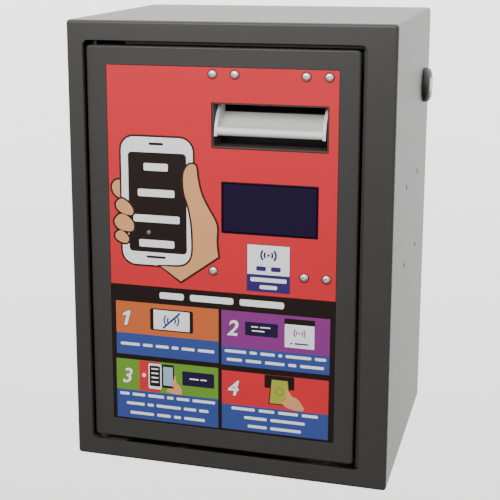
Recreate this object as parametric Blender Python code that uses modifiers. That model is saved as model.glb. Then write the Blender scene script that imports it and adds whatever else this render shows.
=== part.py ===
"""Wall-mounted cash cabinet with a bill validator behind its hinged front door.

Every length below is in millimetres, measured from the cabinet's lower front left corner:
X runs right, Y runs from the front to the rear and Z runs up.
place() turns such a point into metres about the centre of the base.
"""
import math

import bmesh
import bpy
from mathutils import Matrix, Vector

# ---- Driving dimensions ----------------------------------------------------------------------
WIDTH, DEPTH, HEIGHT = 250.0, 200.0, 350.0
SHEET = 2.0
GAP = 0.3
CABINET_EDGE_RADIUS = 2.6
REAR_BORDER, REAR_PANEL_Y = 14.0, (195.6, 197.6)
ANCHOR_X, ANCHOR_Z, ANCHOR_RADIUS = (27.0, 223.0), (60.0, 300.0), 4.5
CABLE_HOLE, CABLE_HOLE_RADIUS = (165.0, 45.0), 10.0
SUPPLY_SCREW_Y, SUPPLY_SCREW_Z, SUPPLY_SCREW_RADIUS = (70.5, 137.2), (158.5, 220.5), 1.6

# Front frame and the door that closes it
OPENING_X, OPENING_Z = (13.0, 228.7), (13.3, 335.0)
OPENING_CORNER = 4.5
LIP_END_Y = 3.7
LIP_SHEET = 2.0
STOP_Y, STOP_X_EDGE, STOP_Z_EDGE, STOP_START_X = (8.0, 10.0), 225.2, 332.0, 45.0
DOOR_X, DOOR_Y, DOOR_Z = (14.3, 223.7), (4.0, 18.0), (16.5, 331.0)
DOOR_CORNER = 3.0
DOOR_FACE = 3.0
PIVOT_X, PIVOT_Y = 20.0, 9.5
PIN_RADIUS = 2.0

# Printed overlay, sunk flush into the door's face
OVERLAY_X, OVERLAY_Z = (30.5, 208.5), (32.5, 316.4)
OVERLAY_Y = (4.1, 4.5)
POCKET_FLOOR_Y = 4.8
MOUTH_X, MOUTH_Z = (113.0, 201.5), (256.0, 290.5)
WINDOW_X, WINDOW_Z = (120.5, 194.6), (191.5, 231.2)
SENSOR_X, SENSOR_Z, SENSOR_RADIUS = 62.3, 187.9, 2.2

# Front screws: a row of four above the mouth and three below the display
SCREW_UPPER_Z, SCREW_LOWER_Z = 311.3, 161.3
SCREW_UPPER_X = (114.0, 131.0, 184.5, 201.3)
SCREW_LOWER_X = (114.0, 184.5, 201.3)
SCREW_HOLE_RADIUS = 2.2

# Cam lock in the right wall and the latch plate that it lowers
LOCK_Y, LOCK_Z = 167.0, 288.0
LOCK_BARREL_RADIUS, LOCK_FLANGE_RADIUS = 9.0, 14.25
LOCK_PLUG_RADIUS = 6.0
CRANK_RADIUS = 8.0
CRANK_START = math.radians(135.0)
CRANK_PIN_RADIUS = 1.5
LATCH_X = (230.5, 232.5)
LATCH_TRAVEL = 2.0 * CRANK_RADIUS * math.sin(CRANK_START)
LATCH_STRIP_Y, LATCH_STRIP_Z = (18.5, 34.0), (24.0, 336.0)
TONGUE_X, TONGUE_Y = (219.5, 231.0), (20.5, 30.0)
TONGUE_HEIGHT = 12.0
KEEPER_Z = ((303.5, 315.5), (50.0, 62.0))
KEEPER_CLEAR = 1.2
GUIDE_Z = (262.0, 96.0)
GUIDE_Y = 27.0

# Note path: rollers on parallel X shafts below and above it
SHAFT_Y, SHAFT_Z = (42.0, 82.0), 274.0
SHAFT_RADIUS, DRIVE_ROLLER_RADIUS = 3.0, 9.0
ROLLER_X = (130.0, 186.0)
PULLEY_X, PULLEY_RADIUS = (106.5, 113.0), 5.0
MOTOR_Y, MOTOR_Z, MOTOR_PULLEY_RADIUS = 62.0, 262.0, 4.0
CHASSIS_X, CHASSIS_Y, CHASSIS_Z = (113.5, 201.0), (31.0, 96.0), (251.0, 281.0)
HEAD_X, HEAD_Y, HEAD_Z = (116.0, 198.5), (31.0, 95.0), (285.2, 317.0)
HEAD_PIVOT_Y, HEAD_PIVOT_Z = 91.0, 300.0
IDLER_RADIUS, IDLER_Z = 5.0, 288.4
IDLER_X = (140.0, 174.0)
BUTTON = (157.0, 45.0)

# Stacker and cash cassette below the note path
STACKER_X, STACKER_Y, STACKER_Z = (114.0, 202.0), (33.0, 51.0), (96.0, 248.0)
CASSETTE_X, CASSETTE_Y, CASSETTE_Z = (114.0, 202.0), (52.3, 97.0), (92.0, 249.5)
WALL = 2.0
STACK_X, STACK_Z = 158.0, 172.0
LID_PIVOT_Y, LID_PIVOT_Z = 99.2, 94.5

# Boards on the rear panel
MAIN_BOARD_X, MAIN_BOARD_Z = (36.0, 108.0), (190.0, 290.0)

PARTS = "note_validator_cabinet"


# ---- Helpers ---------------------------------------------------------------------------------
def place(x, y, z):
    """Millimetres from the lower front left corner to metres about the base's centre."""
    return Vector((x - WIDTH / 2.0, y - DEPTH / 2.0, z)) / 1000.0


def clear_scene():
    for item in list(bpy.data.objects):
        bpy.data.objects.remove(item, do_unlink=True)
    for old in list(bpy.data.collections):
        bpy.data.collections.remove(old)


def new_collection(name):
    group = bpy.data.collections.new(name)
    bpy.context.scene.collection.children.link(group)
    return group


def finish(name, colour, roughness, metallic=0.0):
    """A material made of one Principled BSDF."""
    made = bpy.data.materials.new(name)
    made.use_nodes = True
    shader = made.node_tree.nodes["Principled BSDF"]
    shader.inputs["Base Color"].default_value = (*colour, 1.0)
    shader.inputs["Roughness"].default_value = roughness
    shader.inputs["Metallic"].default_value = metallic
    return made


def add_object(name, mesh, material):
    """Link a mesh as a part when it has a material, and as a cutter when it has none."""
    made = bpy.data.objects.new(name, mesh)
    if material is None:
        CUTTERS.objects.link(made)
        made.hide_render = True
        made.display_type = "WIRE"
    else:
        PIECES.objects.link(made)
        mesh.materials.append(material)
    return made


AXES = {"X": 0, "Y": 1, "Z": 2}
TURN_TO_AXIS = {
    "X": Matrix(((0, 0, 1), (0, 1, 0), (-1, 0, 0))),
    "Y": Matrix(((1, 0, 0), (0, 0, 1), (0, -1, 0))),
    "Z": Matrix.Identity(3),
}
PLANES = {
    "YZ": Matrix(((0, 0, 1), (1, 0, 0), (0, 1, 0))),
    "XZ": Matrix(((1, 0, 0), (0, 0, -1), (0, 1, 0))),
    "XY": Matrix.Identity(3),
}


def block(name, x, y, z, material=None, round_along=None, radius=0.0, segments=4):
    """A box between two corners; the four edges along one axis can be rounded."""
    low, high = place(x[0], y[0], z[0]), place(x[1], y[1], z[1])
    cells = bmesh.new()
    bmesh.ops.create_cube(cells, size=1.0)
    bmesh.ops.scale(cells, vec=high - low, verts=cells.verts)
    if round_along is not None:
        axis = AXES[round_along]
        edges = [e for e in cells.edges if abs(e.verts[0].co[axis] - e.verts[1].co[axis]) > 1e-6]
        bmesh.ops.bevel(cells, geom=edges, offset=radius / 1000.0, segments=segments,
                        profile=0.5, affect="EDGES")
    mesh = bpy.data.meshes.new(name)
    cells.to_mesh(mesh)
    cells.free()
    made = add_object(name, mesh, material)
    made.location = (low + high) / 2.0
    return made


def rod(name, axis, centre, radius, span, material=None, sides=24):
    """A cylinder along an axis: centre holds its two other coordinates, in X, Y, Z order."""
    length = (span[1] - span[0]) / 1000.0
    cells = bmesh.new()
    bmesh.ops.create_cone(cells, cap_ends=True, segments=sides, radius1=radius / 1000.0,
                          radius2=radius / 1000.0, depth=length)
    bmesh.ops.rotate(cells, cent=(0, 0, 0), matrix=TURN_TO_AXIS[axis], verts=cells.verts)
    mesh = bpy.data.meshes.new(name)
    cells.to_mesh(mesh)
    cells.free()
    shade(mesh)
    made = add_object(name, mesh, material)
    middle = list(centre)
    middle.insert(AXES[axis], (span[0] + span[1]) / 2.0)
    made.location = place(*middle)
    return made


def turned(name, axis, centre, profile, material=None, sides=24, ring=False):
    """A turned shape: (radius, station) pairs run down the outer side from the far end.

    Stations are coordinates along the axis. A ring's profile is a closed loop that comes
    back up its bore.
    """
    start = profile[0][1]
    cells = bmesh.new()
    verts = [cells.verts.new((r / 1000.0, 0.0, (s - start) / 1000.0)) for r, s in profile]
    for first, second in zip(verts, verts[1:]):
        cells.edges.new((first, second))
    if ring:
        cells.edges.new((verts[-1], verts[0]))
    mesh = bpy.data.meshes.new(name)
    cells.to_mesh(mesh)
    cells.free()
    made = add_object(name, mesh, material)
    spin = made.modifiers.new("turn", "SCREW")
    spin.axis = "Z"
    spin.steps = sides
    spin.render_steps = sides
    spin.use_merge_vertices = True
    spin.merge_threshold = 0.00001
    spin.use_smooth_shade = True
    foot = list(centre)
    foot.insert(AXES[axis], start)
    made.matrix_world = Matrix.Translation(place(*foot)) @ TURN_TO_AXIS[axis].to_4x4()
    return made


def extruded(name, plane, outline, span, material=None):
    """A flat outline, given in one plane, extruded across a span of the third axis."""
    curve = bpy.data.curves.new(name + "_outline", "CURVE")
    curve.dimensions = "2D"
    curve.fill_mode = "BOTH"
    curve.extrude = (span[1] - span[0]) / 2000.0
    line = curve.splines.new("POLY")
    line.points.add(len(outline) - 1)
    for point, (u, v) in zip(line.points, outline):
        point.co = (u / 1000.0, v / 1000.0, 0.0, 1.0)
    line.use_cyclic_u = True
    guide = bpy.data.objects.new(name + "_outline", curve)
    CUTTERS.objects.link(guide)
    middle = (span[0] + span[1]) / 2.0
    origin = {"YZ": (middle, 0, 0), "XZ": (0, middle, 0), "XY": (0, 0, middle)}[plane]
    guide.matrix_world = Matrix.Translation(place(*origin)) @ PLANES[plane].to_4x4()
    return mesh_from_curve(name, guide, material)


def mesh_from_curve(name, guide, material=None):
    """Turn a curve object into a welded mesh object in the same place."""
    bpy.context.view_layer.update()
    graph = bpy.context.evaluated_depsgraph_get()
    mesh = bpy.data.meshes.new_from_object(guide.evaluated_get(graph))
    mesh.name = name
    mesh.materials.clear()
    cells = bmesh.new()
    cells.from_mesh(mesh)
    bmesh.ops.remove_doubles(cells, verts=cells.verts, dist=0.000005)
    bmesh.ops.recalc_face_normals(cells, faces=cells.faces)
    cells.to_mesh(mesh)
    cells.free()
    made = add_object(name, mesh, material)
    made.matrix_world = guide.matrix_world
    bpy.data.objects.remove(guide, do_unlink=True)
    return made


def wire(name, route, radius, material):
    """A cable along a route of points, smoothed by a Catmull-Rom curve."""
    points = [Vector(p) for p in route]
    ends = [2 * points[0] - points[1], *points, 2 * points[-1] - points[-2]]
    smooth = []
    steps = 4
    for i in range(len(points) - 1):
        a, b, c, d = ends[i:i + 4]
        for step in range(steps):
            t = step / steps
            smooth.append(0.5 * (2 * b + (c - a) * t + (2 * a - 5 * b + 4 * c - d) * t ** 2
                                 + (3 * b - a - 3 * c + d) * t ** 3))
    smooth.append(points[-1])
    curve = bpy.data.curves.new(name + "_route", "CURVE")
    curve.dimensions = "3D"
    curve.bevel_depth = radius / 1000.0
    curve.bevel_resolution = 2
    curve.use_fill_caps = True
    line = curve.splines.new("POLY")
    line.points.add(len(smooth) - 1)
    for point, spot in zip(line.points, smooth):
        point.co = (*(place(*spot)), 1.0)
    guide = bpy.data.objects.new(name + "_route", curve)
    CUTTERS.objects.link(guide)
    made = mesh_from_curve(name, guide, material)
    shade(made.data)
    return made


def shade(mesh):
    """Smooth shading that keeps edges over 35 degrees sharp."""
    mesh.shade_smooth()
    mesh.set_sharp_from_angle(angle=math.radians(35.0))


def combine(target, other, operation):
    """Cut another solid away from a part, or join it on, and file the other as a cutter."""
    step = target.modifiers.new(other.name, "BOOLEAN")
    step.operation = operation
    step.solver = "EXACT"
    step.object = other


def cut(target, *others):
    for other in others:
        combine(target, other, "DIFFERENCE")


def join(target, *others):
    for other in others:
        combine(target, other, "UNION")


def soften(target, width, segments=2):
    """Round every edge sharper than 40 degrees."""
    edge = target.modifiers.new("soft_edges", "BEVEL")
    edge.width = width / 1000.0
    edge.segments = segments
    edge.limit_method = "ANGLE"
    edge.angle_limit = math.radians(40.0)


def hang(name, x, y, z, *pieces, under=None):
    """An empty on a joint's axis that carries the pieces moving about it."""
    pivot = bpy.data.objects.new(name, None)
    pivot.empty_display_size = 0.02
    pivot.location = place(x, y, z)
    PIECES.objects.link(pivot)
    bpy.context.view_layer.update()
    if under is not None:
        pivot.parent = under
        pivot.matrix_parent_inverse = under.matrix_world.inverted()
    bpy.context.view_layer.update()
    for piece in pieces:
        piece.parent = pivot
        piece.matrix_parent_inverse = pivot.matrix_world.inverted()
    return pivot


def grown(span, margin):
    return (span[0] - margin, span[1] + margin)


def arc(centre, radius, start, end, steps):
    """Points on a circle between two angles in degrees."""
    points = []
    for i in range(steps + 1):
        angle = math.radians(start + (end - start) * i / steps)
        points.append((centre[0] + radius * math.cos(angle), centre[1] + radius * math.sin(angle)))
    return points


# ---- Cabinet ---------------------------------------------------------------------------------
def make_cabinet():
    """Folded shell with a front frame, its turned-in lip and a rear service opening."""
    body = block("cabinet_body", (0, WIDTH), (0, DEPTH), (0, HEIGHT), PAINT)
    soften(body, CABINET_EDGE_RADIUS, 3)
    inside = (SHEET, WIDTH - SHEET), (SHEET, DEPTH - SHEET), (SHEET, HEIGHT - SHEET)
    cut(body, block("cabinet_inside", *inside))
    lip = block("cabinet_lip", grown(OPENING_X, LIP_SHEET), (SHEET / 2, LIP_END_Y),
                grown(OPENING_Z, LIP_SHEET), None, "Y", OPENING_CORNER + LIP_SHEET)
    join(body, lip)
    cut(body, block("cabinet_opening", OPENING_X, (-SHEET, 2 * LIP_END_Y), OPENING_Z, None,
                    "Y", OPENING_CORNER))
    add_door_stop(body)
    cut(body, block("cabinet_rear_opening", (REAR_BORDER, WIDTH - REAR_BORDER),
                    grown((DEPTH - SHEET, DEPTH), 1.0), (REAR_BORDER, HEIGHT - REAR_BORDER), None, "Y", 6.0))
    cut(body, rod("lock_hole", "X", (LOCK_Y, LOCK_Z), LOCK_BARREL_RADIUS + GAP,
                  (WIDTH - 2 * SHEET, WIDTH + SHEET), sides=32))
    for spot_z in SUPPLY_SCREW_Z:
        for spot_y in SUPPLY_SCREW_Y:
            cut(body, rod("supply_screw_hole", "X", (spot_y, spot_z), SUPPLY_SCREW_RADIUS,
                          (WIDTH - 2 * SHEET, WIDTH + SHEET), sides=12))


def add_door_stop(body):
    """Deeper return and a stop ledge behind the gap on the free side and along the top."""
    web_x = (OPENING_X[1] + 0.2, OPENING_X[1] + LIP_SHEET - 0.2)
    web_z = (OPENING_Z[1] + 0.2, OPENING_Z[1] + LIP_SHEET - 0.2)
    join(body, block("side_web", web_x, (LIP_END_Y - 1.5, STOP_Y[1]), (OPENING_Z[0], web_z[1])))
    join(body, block("side_stop", (STOP_X_EDGE, web_x[1]), STOP_Y, (OPENING_Z[0], web_z[1])))
    join(body, block("top_web", (STOP_START_X, web_x[1]), (LIP_END_Y - 1.5, STOP_Y[1]), web_z))
    join(body, block("top_stop", (STOP_START_X, web_x[1]), STOP_Y, (STOP_Z_EDGE, web_z[1])))


def make_rear_panel():
    """Inner rear plate with four anchor holes and a cable hole."""
    margin = 6.0
    through = grown(REAR_PANEL_Y, SHEET)
    panel = block("rear_panel", (margin, WIDTH - margin), REAR_PANEL_Y, (margin, HEIGHT - margin),
                  PAINT, "Y", 5.0, 3)
    for anchor_x in ANCHOR_X:
        for anchor_z in ANCHOR_Z:
            cut(panel, rod("anchor_hole", "Y", (anchor_x, anchor_z), ANCHOR_RADIUS, through, sides=20))
    cut(panel, rod("cable_hole", "Y", CABLE_HOLE, CABLE_HOLE_RADIUS, through))


def make_hinge(side, plate_z, foot_z, washer):
    """L bracket behind the frame with a pin through the door's return flange."""
    low, high = sorted(foot_z)
    bracket = block("hinge_bracket_" + side, (10.0, 40.0), (4.0, 22.0), plate_z, PAINT)
    join(bracket, block("hinge_foot_" + side, (10.0, 40.0), (20.0, 22.0), (low, high)))
    cut(bracket, rod("hinge_eye_" + side, "Z", (PIVOT_X, PIVOT_Y), PIN_RADIUS + GAP, grown(plate_z, 1.0)))
    if side == "top":
        ends = ((0, 339.8), (3.5, 339.8), (3.5, 337.8), (2.0, 337.8), (2.0, 326.0), (0, 326.0))
    else:
        ends = ((0, 21.5), (2.0, 21.5), (2.0, 10.5), (3.5, 10.5), (3.5, 8.5), (0, 8.5))
    turned("hinge_pin_" + side, "Z", (PIVOT_X, PIVOT_Y), ends, STEEL, 20)
    if washer is not None:
        ring = ((5.0, washer[1]), (5.0, washer[0]), (2.3, washer[0]), (2.3, washer[1]))
        turned("hinge_washer", "Z", (PIVOT_X, PIVOT_Y), ring, NYLON, 20, ring=True)


# ---- Lock and latch --------------------------------------------------------------------------
def make_lock():
    """Cam lock: flanged barrel in the right wall, turning plug, cam with a crank pin."""
    face = 255.6
    inner = 238.0
    shell = ((LOCK_PLUG_RADIUS + GAP, face), (11.0, face), (13.0, face - 0.9),
             (LOCK_FLANGE_RADIUS, face - 2.6), (LOCK_FLANGE_RADIUS, WIDTH + GAP),
             (LOCK_BARREL_RADIUS, WIDTH + GAP),
             (LOCK_BARREL_RADIUS, inner), (LOCK_PLUG_RADIUS + GAP, inner))
    turned("lock_housing", "X", (LOCK_Y, LOCK_Z), shell, LOCK_GREY, 32, ring=True)
    nut = rod("lock_nut", "X", (LOCK_Y, LOCK_Z), 13.0, (244.7, 247.7), STEEL, sides=6)
    cut(nut, rod("lock_nut_bore", "X", (LOCK_Y, LOCK_Z), LOCK_BARREL_RADIUS + GAP, (240.0, 250.0)))
    plug = turned("lock_plug", "X", (LOCK_Y, LOCK_Z),
                  ((0, face + 0.2), (LOCK_PLUG_RADIUS - 0.6, face + 0.2), (LOCK_PLUG_RADIUS, face - 0.4),
                   (LOCK_PLUG_RADIUS, inner), (3.0, inner), (3.0, 235.0), (0, 235.0)), STEEL, 24)
    cut(plug, block("key_slot", (face - 4.0, face + 1.0), grown((LOCK_Y, LOCK_Y), 0.9),
                    grown((LOCK_Z, LOCK_Z), 4.0)))
    crank_y = LOCK_Y + CRANK_RADIUS * math.cos(CRANK_START)
    crank_z = LOCK_Z + CRANK_RADIUS * math.sin(CRANK_START)
    cam = rod("lock_cam", "X", (LOCK_Y, LOCK_Z), 6.5, (235.3, 237.7), STEEL, 24)
    join(cam, rod("cam_nose", "X", (crank_y, crank_z), 3.5, (235.3, 237.7), sides=20))
    join(cam, rod("cam_pin", "X", (crank_y, crank_z), CRANK_PIN_RADIUS, (228.6, 236.5), sides=16))
    cut(cam, rod("cam_bore", "X", (LOCK_Y, LOCK_Z), 3.3, (230.0, 240.0), sides=20))
    hang("lock_axis", 240.0, LOCK_Y, LOCK_Z, plug, cam)


def make_latch():
    """Sliding plate with two tongues, a rear arm slotted for the cam pin, and guide slots."""
    strip = block("latch_plate", LATCH_X, LATCH_STRIP_Y, LATCH_STRIP_Z, STEEL)
    crank_y = LOCK_Y - CRANK_RADIUS
    crank_z = LOCK_Z + LATCH_TRAVEL / 2.0
    join(strip, block("latch_arm", LATCH_X, (LATCH_STRIP_Y[0] + 2.0, crank_y + 6.5),
                      grown((crank_z, crank_z), 7.5)))
    for low, high in KEEPER_Z:
        tongue_z = (high + KEEPER_CLEAR, high + KEEPER_CLEAR + TONGUE_HEIGHT)
        join(strip, block("latch_tongue", TONGUE_X, TONGUE_Y, tongue_z))
    for guide_z in GUIDE_Z:
        slot_z = (guide_z - 3.1, guide_z + LATCH_TRAVEL + 3.1)
        cut(strip, block("guide_slot", grown(LATCH_X, 1.0), grown((GUIDE_Y, GUIDE_Y), 2.9), slot_z,
                         None, "X", 2.8))
    pin_sweep = CRANK_RADIUS * (1.0 - math.cos(math.pi - CRANK_START))
    cut(strip, block("crank_slot", grown(LATCH_X, 1.0), (crank_y - 2.2, crank_y + pin_sweep + 2.2),
                     grown((crank_z, crank_z), CRANK_PIN_RADIUS + 0.35)))
    hang("latch_slide_axis", 231.5, GUIDE_Y, crank_z, strip)
    for number, guide_z in enumerate(GUIDE_Z, 1):
        turned("latch_guide_%d" % number, "X", (GUIDE_Y, guide_z),
               ((0, 247.7), (5.0, 247.7), (5.0, 232.9), (2.5, 232.9), (2.5, 230.1), (4.5, 230.1),
                (4.5, 228.3), (0, 228.3)), STEEL, 20)


# ---- Door ------------------------------------------------------------------------------------
def screw_places():
    upper = [(x, SCREW_UPPER_Z) for x in SCREW_UPPER_X]
    return upper + [(x, SCREW_LOWER_Z) for x in SCREW_LOWER_X]


def make_door():
    """Pressed door pan: face plate, four return flanges, a pocket for the overlay."""
    door = block("door_panel", DOOR_X, DOOR_Y, DOOR_Z, PAINT, "Y", DOOR_CORNER)
    soften(door, 1.4, 3)
    cut(door, block("door_inside", grown(DOOR_X, -SHEET), (DOOR_Y[0] + DOOR_FACE, DOOR_Y[1] + 2.0),
                    grown(DOOR_Z, -SHEET), None, "Y", 1.5, 2))
    cut(door, block("overlay_pocket", grown(OVERLAY_X, GAP), (0.0, POCKET_FLOOR_Y), grown(OVERLAY_Z, GAP)))
    overlay = block("front_overlay", OVERLAY_X, OVERLAY_Y, OVERLAY_Z, PRINT)
    holes = [
        block("mouth_cut", MOUTH_X, (-5.0, 15.0), MOUTH_Z, None, "Y", 0.8, 2),
        block("window_cut", WINDOW_X, (-5.0, 15.0), WINDOW_Z, None, "Y", 0.8, 2),
        rod("sensor_cut", "Y", (SENSOR_X, SENSOR_Z), SENSOR_RADIUS, (0.0, 15.0), sides=16),
    ]
    cut(door, *holes)
    cut(overlay, *holes)
    for x, z in screw_places():
        cut(door, rod("screw_hole", "Y", (x, z), SCREW_HOLE_RADIUS, (0.0, 15.0), sides=12))
        cut(overlay, rod("screw_head_hole", "Y", (x, z), 3.7, (0.0, 15.0), sides=16))
    for flange_z in ((DOOR_Z[0], DOOR_Z[0] + SHEET), (DOOR_Z[1] - SHEET, DOOR_Z[1])):
        cut(door, rod("hinge_hole", "Z", (PIVOT_X, PIVOT_Y), PIN_RADIUS + GAP, grown(flange_z, 1.0)))
    return [door, overlay]


def make_front_screws():
    """Button head screws with a hex socket, through the door into the validator's bracket."""
    made = []
    for number, (x, z) in enumerate(screw_places(), 1):
        screw = turned("front_screw_%d" % number, "Y", (x, z),
                       ((0, 13.0), (1.9, 13.0), (1.9, 4.5), (3.15, 4.5), (3.15, 3.7), (2.5, 2.75),
                        (1.4, 2.3), (0, 2.3)), NICKEL, 16)
        cut(screw, rod("hex_socket", "Y", (x, z), 1.1, (1.0, 3.4), sides=6))
        made.append(screw)
    return made


def make_keepers():
    """Two L hooks inside the door that the latch tongues drop in front of."""
    made = []
    for name, (low, high) in zip(("upper", "lower"), KEEPER_Z):
        keeper = block("latch_keeper_" + name, (215.8, 218.0), (7.3, 33.6), (low, high), STEEL)
        join(keeper, block("keeper_lip", (217.0, 223.3), (30.6, 33.6), (low, high)))
        join(keeper, block("keeper_foot", (206.0, 217.0), (7.3, 9.3), (low - 6.0, high)))
        made.append(keeper)
    return made


def make_display():
    """Window lens, framed display module and its circuit board."""
    lens = block("display_lens", grown(WINDOW_X, -GAP), (4.15, 6.6), grown(WINDOW_Z, -GAP),
                 CLEAR, "Y", 0.6, 2)
    module = block("display_module", grown(WINDOW_X, 1.5), (7.3, 14.0), grown(WINDOW_Z, 1.8), SCREEN)
    cut(module, block("display_recess", grown(WINDOW_X, -0.6), (7.0, 8.2), grown(WINDOW_Z, -0.6)))
    board = block("display_board", (117.0, 198.5), (14.3, 15.9), (184.5, 238.5), BOARD)
    join(board, block("display_header", (118.0, 140.0), (15.5, 18.0), (233.0, 236.0)))
    for x in (119.3, 196.2):
        for z in (186.8, 236.2):
            cut(board, rod("board_hole", "Y", (x, z), 1.3, (10.0, 20.0), sides=12))
    return [lens, module, board]


def make_phone_sensor():
    """Small lens in the door and the sensor board behind it."""
    lens = turned("sensor_lens", "Y", (SENSOR_X, SENSOR_Z),
                  ((0, 9.6), (3.4, 9.6), (3.4, 7.3), (1.8, 7.3), (1.8, 4.6), (1.1, 4.2), (0, 4.1)),
                  SMOKE, 16)
    board = block("sensor_board", (44.0, 82.0), (10.6, 12.2), (174.0, 202.0), BOARD)
    join(board, block("sensor_chip", (52.0, 60.0), (11.5, 14.5), (194.0, 199.0)))
    join(board, block("sensor_plug", (70.0, 80.0), (11.5, 18.0), (176.0, 184.0)))
    return [lens, board]


# ---- Bill validator --------------------------------------------------------------------------
def make_bracket():
    """Steel plate that carries the validator behind the door, held by the front screws."""
    plate = block("validator_bracket", (107.0, 214.0), (7.3, 9.3), (154.0, 320.0), STEEL, "Y", 3.0, 2)
    cut(plate, block("bracket_mouth", MOUTH_X, (5.0, 12.0), MOUTH_Z))
    cut(plate, block("bracket_window", grown(WINDOW_X, 2.2), (5.0, 12.0), grown(WINDOW_Z, 2.5)))
    for x, z in screw_places():
        cut(plate, rod("bracket_hole", "Y", (x, z), SCREW_HOLE_RADIUS, (5.0, 12.0), sides=12))
    for low, high in KEEPER_Z:
        cut(plate, block("bracket_notch", (205.0, 216.0), (5.0, 12.0), (low - 7.0, high + 1.0)))
    for side in ((107.0, 109.0), (211.0, 213.0)):
        join(plate, block("bracket_rib", side, (8.0, 20.0), (240.0, 294.0)))
    return plate


def make_mouth():
    """Black tube through the door and the pale moulding that leads notes up to the slot."""
    tube_y = (4.9, 28.5)
    tube = block("mouth_surround", grown(MOUTH_X, -GAP), tube_y, grown(MOUTH_Z, -GAP), BLACK)
    cut(tube, block("mouth_tunnel", grown(MOUTH_X, -1.3), grown(tube_y, 2.0), grown(MOUTH_Z, -1.3)))
    lip_z, crest_z, back_y = 265.2, 280.8, 28.2
    lip_y, lip_radius = 8.0, 3.3
    lip_top_z = lip_z + 2 * lip_radius
    lip = arc((lip_y, lip_z + lip_radius), lip_radius, 270, 90, 10)
    steps = 9
    ramp = []
    for i in range(1, steps + 1):
        t = i / steps
        ramp.append((lip_y + 18.0 * t, lip_top_z + (crest_z - lip_top_z) * t ** 1.5))
    outline = [(back_y, lip_z), (back_y, crest_z), *reversed(ramp), *reversed(lip)]
    bezel = extruded("mouth_bezel", "YZ", outline, (116.6, 197.2), IVORY)
    cheek = [(back_y, lip_z), (back_y, 288.4)]
    for i in range(steps + 1):
        t = 1.0 - i / steps
        cheek.append((4.6 + 12.5 * t ** 2.0, lip_z + (288.4 - lip_z) * t))
    join(bezel, extruded("left_cheek", "YZ", cheek, (114.9, 117.1)))
    join(bezel, extruded("right_cheek", "YZ", cheek, (196.7, 198.9)))
    return [tube, bezel]


def make_chassis():
    """Lower half of the validator: deck, side walls and the ears of the head's hinge."""
    across = grown(CHASSIS_X, 3.5)
    ear_y, ear_z = (83.0, 98.0), (CHASSIS_Z[1] - 4.0, 307.0)
    chassis = block("lower_chassis", CHASSIS_X, CHASSIS_Y, CHASSIS_Z, BLACK)
    for side in ((CHASSIS_X[0], CHASSIS_X[0] + WALL), (CHASSIS_X[1] - WALL, CHASSIS_X[1])):
        join(chassis, block("hinge_ear", side, ear_y, ear_z, None, "X", 4.0, 3))
    cut(chassis, block("chassis_inside", grown(CHASSIS_X, -WALL), grown(CHASSIS_Y, -WALL),
                       (CHASSIS_Z[0] - 2.0, CHASSIS_Z[1] - WALL)))
    for shaft_y in SHAFT_Y:
        cut(chassis, block("roller_window", grown(ROLLER_X, 0.6), grown((shaft_y, shaft_y), 8.4),
                           grown((CHASSIS_Z[1], CHASSIS_Z[1]), 4.0)))
        cut(chassis, rod("shaft_hole", "X", (shaft_y, SHAFT_Z), SHAFT_RADIUS + GAP, across, sides=20))
    cut(chassis, block("drop_slot", (122.0, 194.0), (56.0, 60.0), grown((CHASSIS_Z[1], CHASSIS_Z[1]), 4.0)))
    cut(chassis, rod("motor_hole", "X", (MOTOR_Y, MOTOR_Z), 1.8, (110.0, 117.0), sides=12))
    cut(chassis, rod("head_pin_hole", "X", (HEAD_PIVOT_Y, HEAD_PIVOT_Z), PIN_RADIUS + GAP, across, sides=16))
    return chassis


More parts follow.
